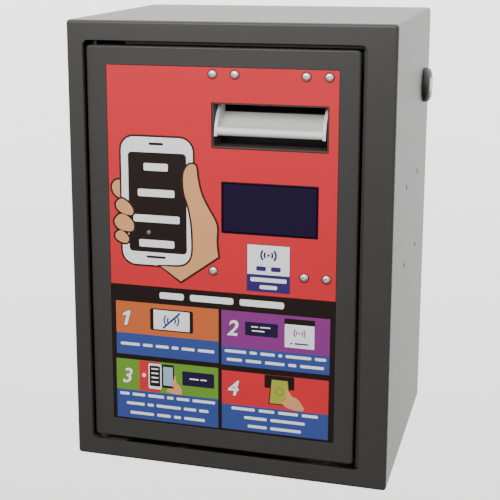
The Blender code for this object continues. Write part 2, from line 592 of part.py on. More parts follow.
def make_rollers():
    """Two driven shafts with rubber rollers, their motor and pulley, and the belt."""
    steel_ends = []
    groove = (PULLEY_X[0] + 1.0, PULLEY_X[1] - 1.0)
    rim = PULLEY_RADIUS + 1.0
    rubbers = []
    for side, shaft_y in zip(("front", "rear"), SHAFT_Y):
        profile = ((0, 203.0), (SHAFT_RADIUS, 203.0), (SHAFT_RADIUS, PULLEY_X[1]), (rim, PULLEY_X[1]),
                   (rim, groove[1]), (PULLEY_RADIUS, groove[1]), (PULLEY_RADIUS, groove[0]),
                   (rim, groove[0]), (rim, PULLEY_X[0]), (0, PULLEY_X[0]))
        steel_ends.append(turned(side + "_drive_shaft", "X", (shaft_y, SHAFT_Z), profile, STEEL, 24))
        bore = SHAFT_RADIUS + GAP
        tyre = ((bore, ROLLER_X[1]), (DRIVE_ROLLER_RADIUS - 0.6, ROLLER_X[1]),
                (DRIVE_ROLLER_RADIUS, ROLLER_X[1] - 0.6), (DRIVE_ROLLER_RADIUS, ROLLER_X[0] + 0.6),
                (DRIVE_ROLLER_RADIUS - 0.6, ROLLER_X[0]), (bore, ROLLER_X[0]))
        rubbers.append(turned(side + "_drive_roller", "X", (shaft_y, SHAFT_Z), tyre, RUBBER, 28,
                              ring=True))
    for side, shaft_y, shaft, rubber in zip(("front", "rear"), SHAFT_Y, steel_ends, rubbers):
        hang(side + "_shaft_axis", 158.0, shaft_y, SHAFT_Z, shaft, rubber)
    motor = turned("drive_motor", "X", (MOTOR_Y, MOTOR_Z),
                   ((0, 152.0), (2.0, 152.0), (2.0, 150.0), (8.0, 150.0), (8.0, 118.6), (3.0, 118.6),
                    (3.0, 117.6), (0, 117.6)), STEEL, 24)
    pulley = turned("motor_pulley", "X", (MOTOR_Y, MOTOR_Z),
                    ((0, 117.2), (1.5, 117.2), (1.5, PULLEY_X[1]), (5.0, PULLEY_X[1]), (5.0, groove[1]),
                     (MOTOR_PULLEY_RADIUS, groove[1]), (MOTOR_PULLEY_RADIUS, groove[0]), (5.0, groove[0]),
                     (5.0, PULLEY_X[0]), (0, PULLEY_X[0])), BRASS, 20)
    hang("motor_axis", 110.0, MOTOR_Y, MOTOR_Z, pulley)
    belt_x = grown(groove, -GAP)
    belt = extruded("drive_belt", "YZ", belt_line(1.2), belt_x, RUBBER)
    cut(belt, extruded("belt_inside", "YZ", belt_line(GAP), grown(belt_x, 1.0)))
    return [motor, belt]


def belt_line(offset):
    """Outline round the three pulleys: an arc on each, joined by straight runs."""
    drop = SHAFT_Z - MOTOR_Z
    reach = MOTOR_Y - SHAFT_Y[0]
    slope = math.degrees(math.atan2(drop, reach))
    lean = math.degrees(math.asin((PULLEY_RADIUS - MOTOR_PULLEY_RADIUS) / math.hypot(drop, reach)))
    side = 90.0 - slope - lean
    big, small = PULLEY_RADIUS + offset, MOTOR_PULLEY_RADIUS + offset
    front = arc((SHAFT_Y[0], SHAFT_Z), big, 90, 180 + side, 8)
    bottom = arc((MOTOR_Y, MOTOR_Z), small, 180 + side, 360 - side, 6)
    rear = arc((SHAFT_Y[1], SHAFT_Z), big, -side, 90, 8)
    return [*front, *bottom, *rear]


def make_head():
    """Upper half: hinged cover with two idle rollers, its pin and its release button."""
    across = grown(HEAD_X, 6.0)
    head = block("upper_head", HEAD_X, HEAD_Y, HEAD_Z, BLACK)
    soften(head, 1.5, 2)
    cut(head, block("head_inside", grown(HEAD_X, -WALL), grown(HEAD_Y, -WALL),
                    (HEAD_Z[0] - 3.0, HEAD_Z[1] - WALL)))
    cut(head, rod("head_pin_bore", "X", (HEAD_PIVOT_Y, HEAD_PIVOT_Z), PIN_RADIUS + GAP, across, sides=16))
    for idler_y in SHAFT_Y:
        cut(head, rod("idler_bore", "X", (idler_y, IDLER_Z), 1.8, across, sides=12))
    cut(head, rod("button_bore", "Z", BUTTON, 3.3, grown((HEAD_Z[1] - WALL, HEAD_Z[1]), 3.0), sides=16))
    idlers = []
    for side, idler_y in zip(("front", "rear"), SHAFT_Y):
        profile = ((0, 200.0), (1.5, 200.0), (1.5, IDLER_X[1]), (IDLER_RADIUS, IDLER_X[1]),
                   (IDLER_RADIUS, IDLER_X[0]), (1.5, IDLER_X[0]), (1.5, 114.6), (0, 114.6))
        if side == "rear":
            profile = tuple((r, min(max(s, 116.5), 198.0)) for r, s in profile)
        idlers.append(turned(side + "_idler_roller", "X", (idler_y, IDLER_Z), profile, NYLON, 20))
    button = turned("release_button", "Z", BUTTON,
                    ((0, 324.0), (5.4, 324.0), (6.0, 323.4), (6.0, 320.3), (3.0, 320.3), (3.0, 308.0),
                     (0, 308.0)), BLUE_PLASTIC, 20)
    pin = rod("head_pin", "X", (HEAD_PIVOT_Y, HEAD_PIVOT_Z), PIN_RADIUS, (112.5, 202.0), STEEL, 16)
    swing = hang("head_axis", 158.0, HEAD_PIVOT_Y, HEAD_PIVOT_Z, head)
    for side, idler_y, idler in zip(("front", "rear"), SHAFT_Y, idlers):
        hang(side + "_idler_axis", 158.0, idler_y, IDLER_Z, idler, under=swing)
    hang("button_axis", *BUTTON, HEAD_Z[1], button, under=swing)
    return pin


# ---- Stacker and cassette --------------------------------------------------------------------
def make_stacker():
    """Open frame with a motor and lead screw that drive the pusher plate rearwards."""
    frame = block("stacker_frame", STACKER_X, STACKER_Y, STACKER_Z, BLACK)
    cut(frame, block("stacker_inside", grown(STACKER_X, -3.0), (STACKER_Y[0] + 3.0, STACKER_Y[1] + 2.0),
                     grown(STACKER_Z, -3.0)))
    cut(frame, rod("screw_bore", "Y", (STACK_X, STACK_Z), 2.6, (30.0, 40.0), sides=16))
    cut(frame, block("stacker_top_slot", (122.0, 194.0), (41.0, 54.0), (240.0, 252.0)))
    motor = turned("stacker_motor", "Y", (STACK_X, STACK_Z),
                   ((0, 32.7), (10.0, 32.7), (10.0, 20.4), (9.0, 19.4), (0, 19.4)), STEEL, 24)
    screw = turned("lead_screw", "Y", (STACK_X, STACK_Z),
                   ((0, 59.0), (2.0, 59.0), (2.0, 38.0), (4.0, 38.0), (4.0, 36.6), (2.0, 36.6),
                    (2.0, 33.1), (0, 33.1)), BRASS, 16)
    hang("lead_screw_axis", STACK_X, 45.0, STACK_Z, screw)
    pusher = block("pusher_plate", (132.0, 184.0), (46.0, 48.0), (110.0, 234.0), IVORY, "Y", 3.0, 2)
    for rib_x in (136.0, 178.0):
        join(pusher, block("pusher_rib", (rib_x, rib_x + 2.0), (40.0, 47.0), (116.0, 228.0)))
    join(pusher, rod("pusher_nut", "Y", (STACK_X, STACK_Z), 6.0, (40.0, 47.0), sides=16))
    cut(pusher, rod("pusher_bore", "Y", (STACK_X, STACK_Z), 2.3, (35.0, 50.0), sides=16))
    hang("pusher_axis", STACK_X, 47.0, STACK_Z, pusher)
    return [frame, motor]


def make_cassette():
    """Removable cash box: housing, hinged rear lid, sprung pressure plate and its spring."""
    box = block("cassette_housing", CASSETTE_X, CASSETTE_Y, CASSETTE_Z, CASSETTE_GREY)
    for side in ((CASSETTE_X[0], CASSETTE_X[0] + WALL), (CASSETTE_X[1] - WALL, CASSETTE_X[1])):
        join(box, block("lid_ear", side, (94.0, 102.6), (90.5, 98.5), None, "X", 2.5, 3))
    cut(box, block("cassette_inside", grown(CASSETTE_X, -WALL), (CASSETTE_Y[0] + WALL, 110.0),
                   grown(CASSETTE_Z, -WALL)))
    cut(box, block("pusher_window", (130.0, 186.0), (50.0, 56.0), (106.0, 240.0), None, "Y", 4.0, 2))
    cut(box, block("cassette_slot", (122.0, 194.0), (56.0, 60.0), (245.0, 252.0)))
    cut(box, rod("lid_hole", "X", (LID_PIVOT_Y, LID_PIVOT_Z), 1.8, (110.0, 205.0), sides=12))
    lid = block("cassette_lid", (116.4, 199.6), (98.0, 100.4), (93.0, 249.0), CASSETTE_GREY)
    join(lid, block("lid_grip", (146.0, 170.0), (100.0, 103.0), (236.0, 239.0)))
    join(lid, rod("lid_pin", "X", (LID_PIVOT_Y, LID_PIVOT_Z), 1.2, (114.5, 201.5), sides=12))
    plate = block("pressure_plate", (120.0, 196.0), (64.0, 66.0), (100.0, 242.0), STEEL, "Y", 3.0, 2)
    spring = pressure_spring()
    carrier = hang("cassette_axis", STACK_X, 75.0, STACK_Z, box)
    hang("lid_axis", STACK_X, LID_PIVOT_Y, LID_PIVOT_Z, lid, under=carrier)
    hang("plate_axis", STACK_X, 65.0, STACK_Z, plate, spring, under=carrier)


def pressure_spring():
    """Coil between the pressure plate and the lid."""
    radius, start, end, turns, per_turn = 12.0, 67.2, 97.0, 5, 10
    route = []
    for i in range(turns * per_turn + 1):
        turn = 2.0 * math.pi * i / per_turn
        along = start + (end - start) * i / (turns * per_turn)
        route.append((STACK_X + radius * math.cos(turn), along, STACK_Z + radius * math.sin(turn)))
    curve = bpy.data.curves.new("spring_route", "CURVE")
    curve.dimensions = "3D"
    curve.bevel_depth = 0.0007
    curve.bevel_resolution = 1
    curve.use_fill_caps = True
    line = curve.splines.new("POLY")
    line.points.add(len(route) - 1)
    for point, spot in zip(line.points, route):
        point.co = (*place(*spot), 1.0)
    guide = bpy.data.objects.new("spring_route", curve)
    CUTTERS.objects.link(guide)
    return mesh_from_curve("pressure_spring", guide, STEEL)


# ---- Electronics -----------------------------------------------------------------------------
def make_boards():
    """Validator board beside the cassette and its cable to the display."""
    board = block("validator_board", (107.0, 108.6), (30.0, 92.0), (120.0, 236.0), BOARD)
    for y, z, height in ((40.0, 150.0, 14.0), (62.0, 190.0, 18.0), (46.0, 215.0, 9.0), (75.0, 140.0, 9.0)):
        join(board, block("board_chip", (103.8, 107.5), (y, y + 12.0), (z, z + height)))
    cable = wire("display_cable", ((128.0, 19.6, 234.6), (128.0, 23.0, 234.6), (121.0, 25.5, 232.0),
                                   (111.0, 25.0, 226.0), (103.0, 25.5, 215.0), (100.0, 30.0, 205.0),
                                   (101.0, 37.0, 198.0), (104.5, 44.0, 196.0)), 1.2, WIRE_BLACK)
    return [board, cable]


def make_fixed_electronics():
    """Main board, network box with its aerial and power supply inside the cabinet."""
    board = block("main_board", MAIN_BOARD_X, (186.0, 187.8), MAIN_BOARD_Z, BOARD)
    for x in grown(MAIN_BOARD_X, -4.0):
        for z in grown(MAIN_BOARD_Z, -4.0):
            join(board, rod("board_post", "Y", (x, z), 3.0, (187.0, REAR_PANEL_Y[0] - GAP), sides=12))
    chips = ((46.0, 228.0, 20.0, 20.0), (80.0, 215.0, 14.0, 30.0), (46.0, 200.0, 28.0, 8.0),
             (62.0, 260.0, 36.0, 12.0))
    for x, z, width, height in chips:
        join(board, block("main_chip", (x, x + width), (182.5, 186.5), (z, z + height)))
    box = block("network_box", (40.0, 140.0), (164.0, 192.0), (4.0, 96.0), BLACK, "Y", 5.0, 3)
    soften(box, 1.2, 1)
    aerial_x, aerial_y, ball_radius = 122.0, 180.0, 4.4
    ball_z = 102.3 + ball_radius
    join(box, rod("aerial_socket", "Z", (aerial_x, aerial_y), 4.0, (90.0, 102.0), sides=16))
    ball = [(abs(r), z) for r, z in arc((0.0, ball_z), ball_radius, 0, -90, 4)]
    aerial = turned("aerial", "Z", (aerial_x, aerial_y),
                    ((0, 178.0), (3.0, 178.0), (3.6, 176.0), (ball_radius, 120.0), *ball[:-1], (0, 102.3)),
                    BLACK, 16)
    hang("aerial_axis", aerial_x, aerial_y, ball_z, aerial)
    supply = block("power_supply", (224.0, 247.6), (64.0, 144.0), (150.0, 229.0), STEEL)
    soften(supply, 0.8, 1)
    for vent in range(5):
        y = 78.0 + 12.0 * vent
        cut(supply, block("vent", (222.0, 226.0), (y, y + 5.0), (165.0, 214.0)))


def build():
    make_cabinet()
    make_rear_panel()
    make_hinge("top", (335.5, 337.5), (336.5, 347.7), None)
    make_hinge("bottom", (10.8, 12.8), (2.3, 11.8), (13.1, 16.2))
    make_lock()
    make_latch()
    on_door = [*make_door(), *make_front_screws(), *make_keepers(), *make_display(), *make_phone_sensor()]
    on_door += [make_bracket(), *make_mouth(), make_chassis(), *make_rollers(), make_head()]
    on_door += [*make_stacker(), *make_boards()]
    make_cassette()
    make_fixed_electronics()
    pivot = hang("door_axis", PIVOT_X, PIVOT_Y, HEIGHT / 2, *on_door)
    for name in ("front_shaft_axis", "rear_shaft_axis", "motor_axis", "head_axis", "lead_screw_axis",
                 "pusher_axis", "cassette_axis"):
        axis = bpy.data.objects[name]
        axis.parent = pivot
        axis.matrix_parent_inverse = pivot.matrix_world.inverted()


clear_scene()
PIECES = new_collection(PARTS)
CUTTERS = new_collection("cutters")
PAINT = finish("charcoal_paint", (0.07, 0.068, 0.066), 0.5)
PRINT = finish("printed_overlay", (0.63, 0.1, 0.09), 0.35)
STEEL = finish("zinc_steel", (0.55, 0.55, 0.56), 0.35, 1.0)
NICKEL = finish("nickel_screw", (0.66, 0.63, 0.6), 0.3, 1.0)
LOCK_GREY = finish("lock_zinc", (0.06, 0.06, 0.06), 0.4, 0.6)
BLACK = finish("black_plastic", (0.03, 0.03, 0.032), 0.5)
IVORY = finish("pale_moulding", (0.5, 0.48, 0.47), 0.4)
CASSETTE_GREY = finish("cassette_plastic", (0.09, 0.09, 0.1), 0.5)
NYLON = finish("nylon", (0.75, 0.74, 0.7), 0.5)
RUBBER = finish("rubber", (0.02, 0.02, 0.02), 0.8)
BRASS = finish("brass", (0.6, 0.42, 0.17), 0.35, 1.0)
BOARD = finish("circuit_board", (0.02, 0.12, 0.05), 0.45)
CLEAR = finish("window_lens", (0.6, 0.62, 0.7), 0.05)
SCREEN = finish("display_glass", (0.02, 0.016, 0.045), 0.1)
SMOKE = finish("smoked_lens", (0.3, 0.3, 0.3), 0.2)
BLUE_PLASTIC = finish("blue_button", (0.05, 0.12, 0.4), 0.4)
WIRE_BLACK = finish("cable_jacket", (0.02, 0.02, 0.02), 0.6)
build()
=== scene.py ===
import math

import bmesh
import bpy
from mathutils import Matrix, Vector


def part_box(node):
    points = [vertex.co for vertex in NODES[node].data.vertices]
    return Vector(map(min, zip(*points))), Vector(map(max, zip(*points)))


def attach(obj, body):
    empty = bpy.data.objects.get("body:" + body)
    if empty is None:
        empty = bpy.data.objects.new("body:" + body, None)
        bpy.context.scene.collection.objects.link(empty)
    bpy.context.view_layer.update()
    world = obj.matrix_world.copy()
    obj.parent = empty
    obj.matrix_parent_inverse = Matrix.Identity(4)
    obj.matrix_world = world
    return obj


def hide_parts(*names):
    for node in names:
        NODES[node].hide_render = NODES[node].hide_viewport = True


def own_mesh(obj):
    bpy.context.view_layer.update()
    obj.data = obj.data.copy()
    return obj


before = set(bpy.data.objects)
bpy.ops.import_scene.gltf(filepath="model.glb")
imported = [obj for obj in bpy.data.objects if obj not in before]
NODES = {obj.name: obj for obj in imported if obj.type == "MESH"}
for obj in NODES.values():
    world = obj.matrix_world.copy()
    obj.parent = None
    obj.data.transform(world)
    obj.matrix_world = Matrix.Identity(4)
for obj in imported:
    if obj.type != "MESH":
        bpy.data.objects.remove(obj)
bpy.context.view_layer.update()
MM = 0.001
CABINET_LOW, OVERLAY_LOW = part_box("cabinet_body")[0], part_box("front_overlay")[0]

# Lengths below are in millimetres. The camera, lights, materials and weld distances are in metres.
FILM = 0.03                     # thickness of one printed layer
LAYER_STEP = 0.04               # distance between the faces of two printed layers
LINE = 1.45                     # width of the dark line around the large printed figures
HEAVY_FACE = 0.36               # how far a printed numeral's strokes are thickened
TEXT_SIZE = 1.38                # font size over the height of its digits
MOUTH = ((113.0, 201.5), (256.0, 290.5))        # the overlay's openings, as ranges of X and Z
WINDOW = ((120.5, 194.6), (191.5, 231.2))
PEEPHOLE_CENTRE = (62.3, 187.9)
LOCK_CENTRE = (167.0, 288.0)    # Y and Z of the lock's axis
RIGHT_WALL_X, REAR_PANEL_Y = 250.0, 200.0

# The camera stands right of centre and a little above the cabinet: metres and degrees.
CAMERA_PLACE = (0.2342, -0.9225, 0.4112)
CAMERA_ANGLES = (77.771, 0.372, 17.082)
CAMERA_LENS = 84.7
CAMERA_SHIFT = (0.10, -0.12)


# ---- Camera and light ------------------------------------------------------------------------
def make_camera():
    data = bpy.data.cameras.new("camera")
    data.lens = CAMERA_LENS
    data.sensor_width = 36.0
    data.shift_x, data.shift_y = CAMERA_SHIFT
    data.clip_start = 0.01
    camera = bpy.data.objects.new("camera", data)
    camera.location = CAMERA_PLACE
    camera.rotation_euler = [math.radians(a) for a in CAMERA_ANGLES]
    bpy.context.scene.collection.objects.link(camera)
    bpy.context.scene.camera = camera


def area_light(name, place, aim, size, power):
    data = bpy.data.lights.new(name, "AREA")
    data.shape = "RECTANGLE"
    data.size, data.size_y = size
    data.energy = power
    lamp = bpy.data.objects.new(name, data)
    lamp.location = place
    lamp.rotation_euler = (Vector(aim) - Vector(place)).to_track_quat("-Z", "Y").to_euler()
    lamp.visible_camera = False
    bpy.context.scene.collection.objects.link(lamp)


def make_studio():
    """A pale surround, dimmer in front of the cabinet and near the ground, and three softboxes."""
    world = bpy.data.worlds.new("studio")
    bpy.context.scene.world = world
    world.use_nodes = True
    nodes, links = world.node_tree.nodes, world.node_tree.links
    sky = nodes["Background"]
    sky.inputs["Color"].default_value = (1.0, 0.995, 0.985, 1.0)
    direction, parts = nodes.new("ShaderNodeTexCoord"), nodes.new("ShaderNodeSeparateXYZ")
    links.new(direction.outputs["Generated"], parts.inputs["Vector"])

    def ramp(axis, start, end, low, high):
        """Brightness that goes from low to high as one component of the direction goes from start to end."""
        node = nodes.new("ShaderNodeMapRange")
        node.interpolation_type = "SMOOTHSTEP"
        for socket, value in (("From Min", start), ("From Max", end), ("To Min", low), ("To Max", high)):
            node.inputs[socket].default_value = value
        links.new(parts.outputs[axis], node.inputs["Value"])
        return node.outputs["Result"]

    front_to_back = ramp("Y", 0.0, 0.85, 0.0, 1.0)
    in_front, behind = ramp("Z", -0.3, 0.4, 0.08, 1.5), ramp("Z", -0.6, 0.1, 1.9, 3.1)
    blend = nodes.new("ShaderNodeMix")
    links.new(front_to_back, blend.inputs["Factor"])
    links.new(in_front, blend.inputs["A"])
    links.new(behind, blend.inputs["B"])
    links.new(blend.outputs["Result"], sky.inputs["Strength"])
    middle, upper_front = (0.0, 0.0, 0.2), (0.0, 0.0, 0.32)
    area_light("overhead_softbox", (0.2, 0.5, 1.7), middle, (1.6, 1.6), 20.0)
    area_light("front_softbox", (-0.1, -0.62, 0.58), upper_front, (0.5, 0.3), 3.9)
    area_light("right_softbox", (1.1, -0.9, 0.6), middle, (0.6, 0.6), 3.0)


# ---- Materials -------------------------------------------------------------------------------
def new_material(name):
    made = bpy.data.materials.new(name)
    made.use_nodes = True
    return made, made.node_tree.nodes, made.node_tree.links, made.node_tree.nodes["Principled BSDF"]


def surface(name, colour, other, roughness, spread, metallic=0.0, grain=600.0, depth=0.00004,
            stretch=(1.0, 1.0, 1.0), patch=14.0, coat=0.0, shine=0.4):
    """A finish with slow colour drift, uneven gloss and a fine bump of its own grain."""
    made, nodes, links, shader = new_material(name)
    where = nodes.new("ShaderNodeTexCoord")
    scale = nodes.new("ShaderNodeMapping")
    scale.inputs["Scale"].default_value = stretch
    links.new(where.outputs["Object"], scale.inputs["Vector"])
    cloud = nodes.new("ShaderNodeTexNoise")
    cloud.inputs["Scale"].default_value = patch
    cloud.inputs["Detail"].default_value = 6.0
    links.new(where.outputs["Object"], cloud.inputs["Vector"])
    fine = nodes.new("ShaderNodeTexNoise")
    fine.inputs["Scale"].default_value = grain
    fine.inputs["Detail"].default_value = 3.0
    links.new(scale.outputs["Vector"], fine.inputs["Vector"])
    tint = nodes.new("ShaderNodeMix")
    tint.data_type = "RGBA"
    tint.inputs["A"].default_value = (*colour, 1.0)
    tint.inputs["B"].default_value = (*other, 1.0)
    links.new(cloud.outputs["Fac"], tint.inputs["Factor"])
    links.new(tint.outputs["Result"], shader.inputs["Base Color"])
    gloss = nodes.new("ShaderNodeMapRange")
    gloss.inputs["To Min"].default_value = roughness - spread
    gloss.inputs["To Max"].default_value = roughness + spread
    links.new(fine.outputs["Fac"], gloss.inputs["Value"])
    links.new(gloss.outputs["Result"], shader.inputs["Roughness"])
    bump = nodes.new("ShaderNodeBump")
    bump.inputs["Strength"].default_value = 1.0
    bump.inputs["Distance"].default_value = depth
    links.new(fine.outputs["Fac"], bump.inputs["Height"])
    links.new(bump.outputs["Normal"], shader.inputs["Normal"])
    shader.inputs["Metallic"].default_value = metallic
    shader.inputs["Specular IOR Level"].default_value = shine
    shader.inputs["Coat Weight"].default_value = coat
    shader.inputs["Coat Roughness"].default_value = 0.12
    return made


def grey(value, warmth=0.0):
    return (value * (1.0 + warmth), value, value * (1.0 - warmth))


def printed(name, colour, other):
    """Screen-printed ink under a satin polyester film."""
    return surface(name, colour, other, 0.36, 0.05, grain=1100.0, depth=0.000012, patch=9.0, shine=0.3)


def make_materials():
    """Finishes by the short names that the rest of the script uses."""
    finishes = {
        "paint": surface("powder_coat", grey(0.036, 0.05), grey(0.044, 0.04), 0.40, 0.08,
                         grain=900.0, depth=0.00006, shine=0.3),
        "zinc": surface("zinc_plate", grey(0.46), grey(0.56), 0.33, 0.10,
                        metallic=1.0, grain=240.0, depth=0.00001, stretch=(1, 1, 0.06)),
        "nickel": surface("nickel_plate", grey(0.66, 0.05), grey(0.74, 0.04), 0.40, 0.08,
                          metallic=0.85, grain=500.0, depth=0.00001),
        "dark_steel": surface("blackened_steel", grey(0.05), grey(0.07), 0.45, 0.08,
                              metallic=0.8, grain=500.0, depth=0.00001),
        "lock": surface("black_chrome", grey(0.045), grey(0.06), 0.48, 0.06,
                        metallic=0.4, grain=300.0, depth=0.00001),
        "black": surface("black_moulding", grey(0.010), grey(0.015), 0.48, 0.10,
                         grain=1500.0, depth=0.00003),
        # Dark reddish brown for the moulding round the mouth.
        "dark_mouth_moulding": surface("mouth_moulding", (0.060, 0.044, 0.039), (0.072, 0.054, 0.047), 0.5, 0.08,
                        grain=1400.0, depth=0.00003, shine=0.25),
        "ivory": surface("pale_moulding", grey(0.66, 0.01), grey(0.70, 0.01), 0.34, 0.05,
                         grain=700.0, depth=0.00001),
        "cassette": surface("grey_moulding", grey(0.035, -0.03), grey(0.045, -0.03), 0.5, 0.10,
                            grain=1300.0, depth=0.00004),
        "nylon": surface("nylon", grey(0.55, 0.03), grey(0.62, 0.03), 0.5, 0.06,
                         grain=400.0, depth=0.00001),
        "rubber": surface("rubber", grey(0.010), grey(0.016), 0.8, 0.1,
                          grain=900.0, depth=0.00004),
        "brass": surface("brass", (0.60, 0.40, 0.14), (0.70, 0.48, 0.20), 0.3, 0.08,
                         metallic=1.0, grain=300.0, depth=0.00001),
        "copper": surface("copper", (0.60, 0.26, 0.13), (0.68, 0.31, 0.17), 0.3, 0.08,
                          metallic=1.0, grain=300.0, depth=0.00001),
        "board": surface("solder_mask", (0.006, 0.065, 0.026), (0.010, 0.09, 0.035), 0.35, 0.08,
                         grain=260.0, depth=0.00002, coat=0.4),
        "chip": surface("epoxy", grey(0.012), grey(0.018), 0.5, 0.08,
                        grain=1500.0, depth=0.00001),
        "screen": surface("dark_display", (0.014, 0.0085, 0.029), (0.016, 0.0095, 0.033), 0.10, 0.02,
                          grain=200.0, depth=0.000001, shine=0.12),
        "screen_edge": surface("display_border", (0.004, 0.003, 0.008), (0.005, 0.004, 0.01), 0.12, 0.02,
                               grain=200.0, depth=0.000001, shine=0.2),
        "smoke": surface("smoked_lens", grey(0.15, 0.02), grey(0.18, 0.02), 0.18, 0.04,
                         grain=200.0, depth=0.000001),
        "blue_button": surface("blue_button", (0.02, 0.06, 0.30), (0.03, 0.08, 0.36), 0.32, 0.06,
                               grain=800.0, depth=0.00001),
        "cable": surface("cable_jacket", grey(0.010), grey(0.014), 0.55, 0.08,
                         grain=700.0, depth=0.00002),
    }
    inks = {
        "red_print": ((0.55, 0.020, 0.031), (0.60, 0.027, 0.037)),
        "outline_print": ((0.022, 0.010, 0.008), (0.028, 0.013, 0.010)),
        "night_print": ((0.014, 0.008, 0.036), (0.018, 0.010, 0.042)),
        "black_print": ((0.012, 0.007, 0.006), (0.016, 0.010, 0.008)),
        "white_print": ((0.80, 0.79, 0.82), (0.84, 0.83, 0.85)),
        "skin_print": ((0.66, 0.33, 0.15), (0.60, 0.28, 0.12)),
        "navy_print": ((0.030, 0.018, 0.12), (0.036, 0.022, 0.14)),
        "blue_print": ((0.034, 0.060, 0.24), (0.042, 0.070, 0.26)),
        "orange_print": ((0.50, 0.11, 0.032), (0.54, 0.13, 0.038)),
        "purple_print": ((0.19, 0.028, 0.18), (0.22, 0.034, 0.20)),
        "green_print": ((0.115, 0.26, 0.026), (0.135, 0.29, 0.03)),
        "sky_print": ((0.26, 0.42, 0.55), (0.30, 0.46, 0.60)),
        "note_print": ((0.38, 0.37, 0.05), (0.31, 0.32, 0.045)),
    }
    for name, (colour, other) in inks.items():
        finishes[name] = printed(name, colour, other)
    return finishes


# ---- Shape helpers ---------------------------------------------------------------------------
def at(x, y, z):
    """Millimetres from the cabinet's lower front left corner to a point in the row frame."""
    return CABINET_LOW + Vector((x, y, z)) * MM


def settle_group():
    """Node group that welds a faceted part and shades it smooth below an edge angle."""
    group = bpy.data.node_groups.new("weld_and_smooth", "GeometryNodeTree")
    group.interface.new_socket("Geometry", in_out="INPUT", socket_type="NodeSocketGeometry")
    group.interface.new_socket("Geometry", in_out="OUTPUT", socket_type="NodeSocketGeometry")
    nodes, links = group.nodes, group.links
    start, end = nodes.new("NodeGroupInput"), nodes.new("NodeGroupOutput")
    weld = nodes.new("GeometryNodeMergeByDistance")
    weld.inputs["Distance"].default_value = 0.00001
    drop = nodes.new("GeometryNodeRemoveAttribute")
    drop.inputs["Name"].default_value = "custom_normal"
    smooth = nodes.new("GeometryNodeSetShadeSmooth")
    sharp = nodes.new("GeometryNodeSetShadeSmooth")
    sharp.domain = "EDGE"
    sharp.inputs["Shade Smooth"].default_value = False
    angle = nodes.new("GeometryNodeInputMeshEdgeAngle")
    over = nodes.new("FunctionNodeCompare")
    over.inputs["B"].default_value = math.radians(32.0)
    links.new(angle.outputs["Unsigned Angle"], over.inputs["A"])
    links.new(over.outputs["Result"], sharp.inputs["Selection"])
    links.new(start.outputs[0], drop.inputs["Geometry"])
    links.new(drop.outputs["Geometry"], weld.inputs["Geometry"])
    links.new(weld.outputs["Geometry"], smooth.inputs["Geometry"])
    links.new(smooth.outputs["Geometry"], sharp.inputs["Geometry"])
    links.new(sharp.outputs["Geometry"], end.inputs[0])
    return group


def dress(node, material, edge=0.0, segments=2):
    """Give a CAD node its finish, smooth round faces and rounded edges of a width in mm."""
    part = NODES[node]
    part.data.materials.clear()
    part.data.materials.append(material)
    weld = part.modifiers.new("weld", "NODES")
    weld.node_group = WELD
    if edge > 0.0:
        bevel = part.modifiers.new("edge", "BEVEL")
        bevel.width = edge * MM
        bevel.segments = segments
        bevel.limit_method = "ANGLE"
        bevel.angle_limit = math.radians(50.0)
        bevel.use_clamp_overlap = True
        level = part.modifiers.new("normals", "WEIGHTED_NORMAL")
        level.keep_sharp = True


def link(name, mesh, material):
    """Put a mesh into the scene as an object with one material."""
    piece = bpy.data.objects.new(name, mesh)
    bpy.context.scene.collection.objects.link(piece)
    mesh.materials.clear()
    mesh.materials.append(material)
    return piece


def arc_points(cx, cz, radius, start, end, steps=10):
    """Points on an arc between two angles in degrees."""
    turn = [math.radians(start + (end - start) * i / steps) for i in range(steps + 1)]
    return [(cx + radius * math.cos(a), cz + radius * math.sin(a)) for a in turn]


def rounded(x, z, radius, steps=6):
    """Outline of a rectangle with round corners."""
    r = radius
    points = []
    for cx, cz, start in ((x[1] - r, z[1] - r, 0), (x[0] + r, z[1] - r, 90),
                          (x[0] + r, z[0] + r, 180), (x[1] - r, z[0] + r, 270)):
        points += arc_points(cx, cz, r, start, start + 90, steps)
    return points


def flowing(points, closed=True, steps=6):
    """Catmull-Rom curve through a few points."""
    ends = (points[-1], points[:2]) if closed else (points[0], points[-1:])
    chain = [Vector(p) for p in (ends[0], *points, *ends[1])]
    out = []
    for a, b, c, d in zip(chain, chain[1:], chain[2:], chain[3:]):
        for step in range(steps):
            t = step / steps
            out.append(tuple(0.5 * (2 * b + (c - a) * t + (2 * a - 5 * b + 4 * c - d) * t ** 2
                                    + (3 * b - a - 3 * c + d) * t ** 3)))
    return out if closed else out + [tuple(points[-1])]


def band(cx, cz, radius, width, start, end):
    """Outline of a stroke along an arc."""
    outer = arc_points(cx, cz, radius + width / 2, start, end)
    inner = arc_points(cx, cz, radius - width / 2, end, start)
    return outer + inner


def stroke(ax, az, bx, bz, width):
    """Outline of a straight stroke."""
    along = Vector((bx - ax, bz - az)).normalized()
    side = Vector((-along.y, along.x)) * width / 2
    return [(ax + side.x, az + side.y), (ax - side.x, az - side.y),
            (bx - side.x, bz - side.y), (bx + side.x, bz + side.y)]


def widened(outline, margin):
    """The same closed outline moved outwards by a margin."""
    count = len(outline)
    area = sum(outline[i][0] * outline[(i + 1) % count][1] - outline[(i + 1) % count][0] * outline[i][1]
               for i in range(count))
    way = margin if area > 0.0 else -margin
    out = []
    for i in range(count):
        before, here, after = (Vector(outline[(i + k) % count]) for k in (-1, 0, 1))
        first, second = (here - before), (after - here)
        first.normalize()
        second.normalize()
        corner = Vector((first.y + second.y, -first.x - second.x))
        corner.normalize()
        reach = max(0.5, corner.dot(Vector((first.y, -first.x))))
        out.append(tuple(here + corner * way / reach))
    return out


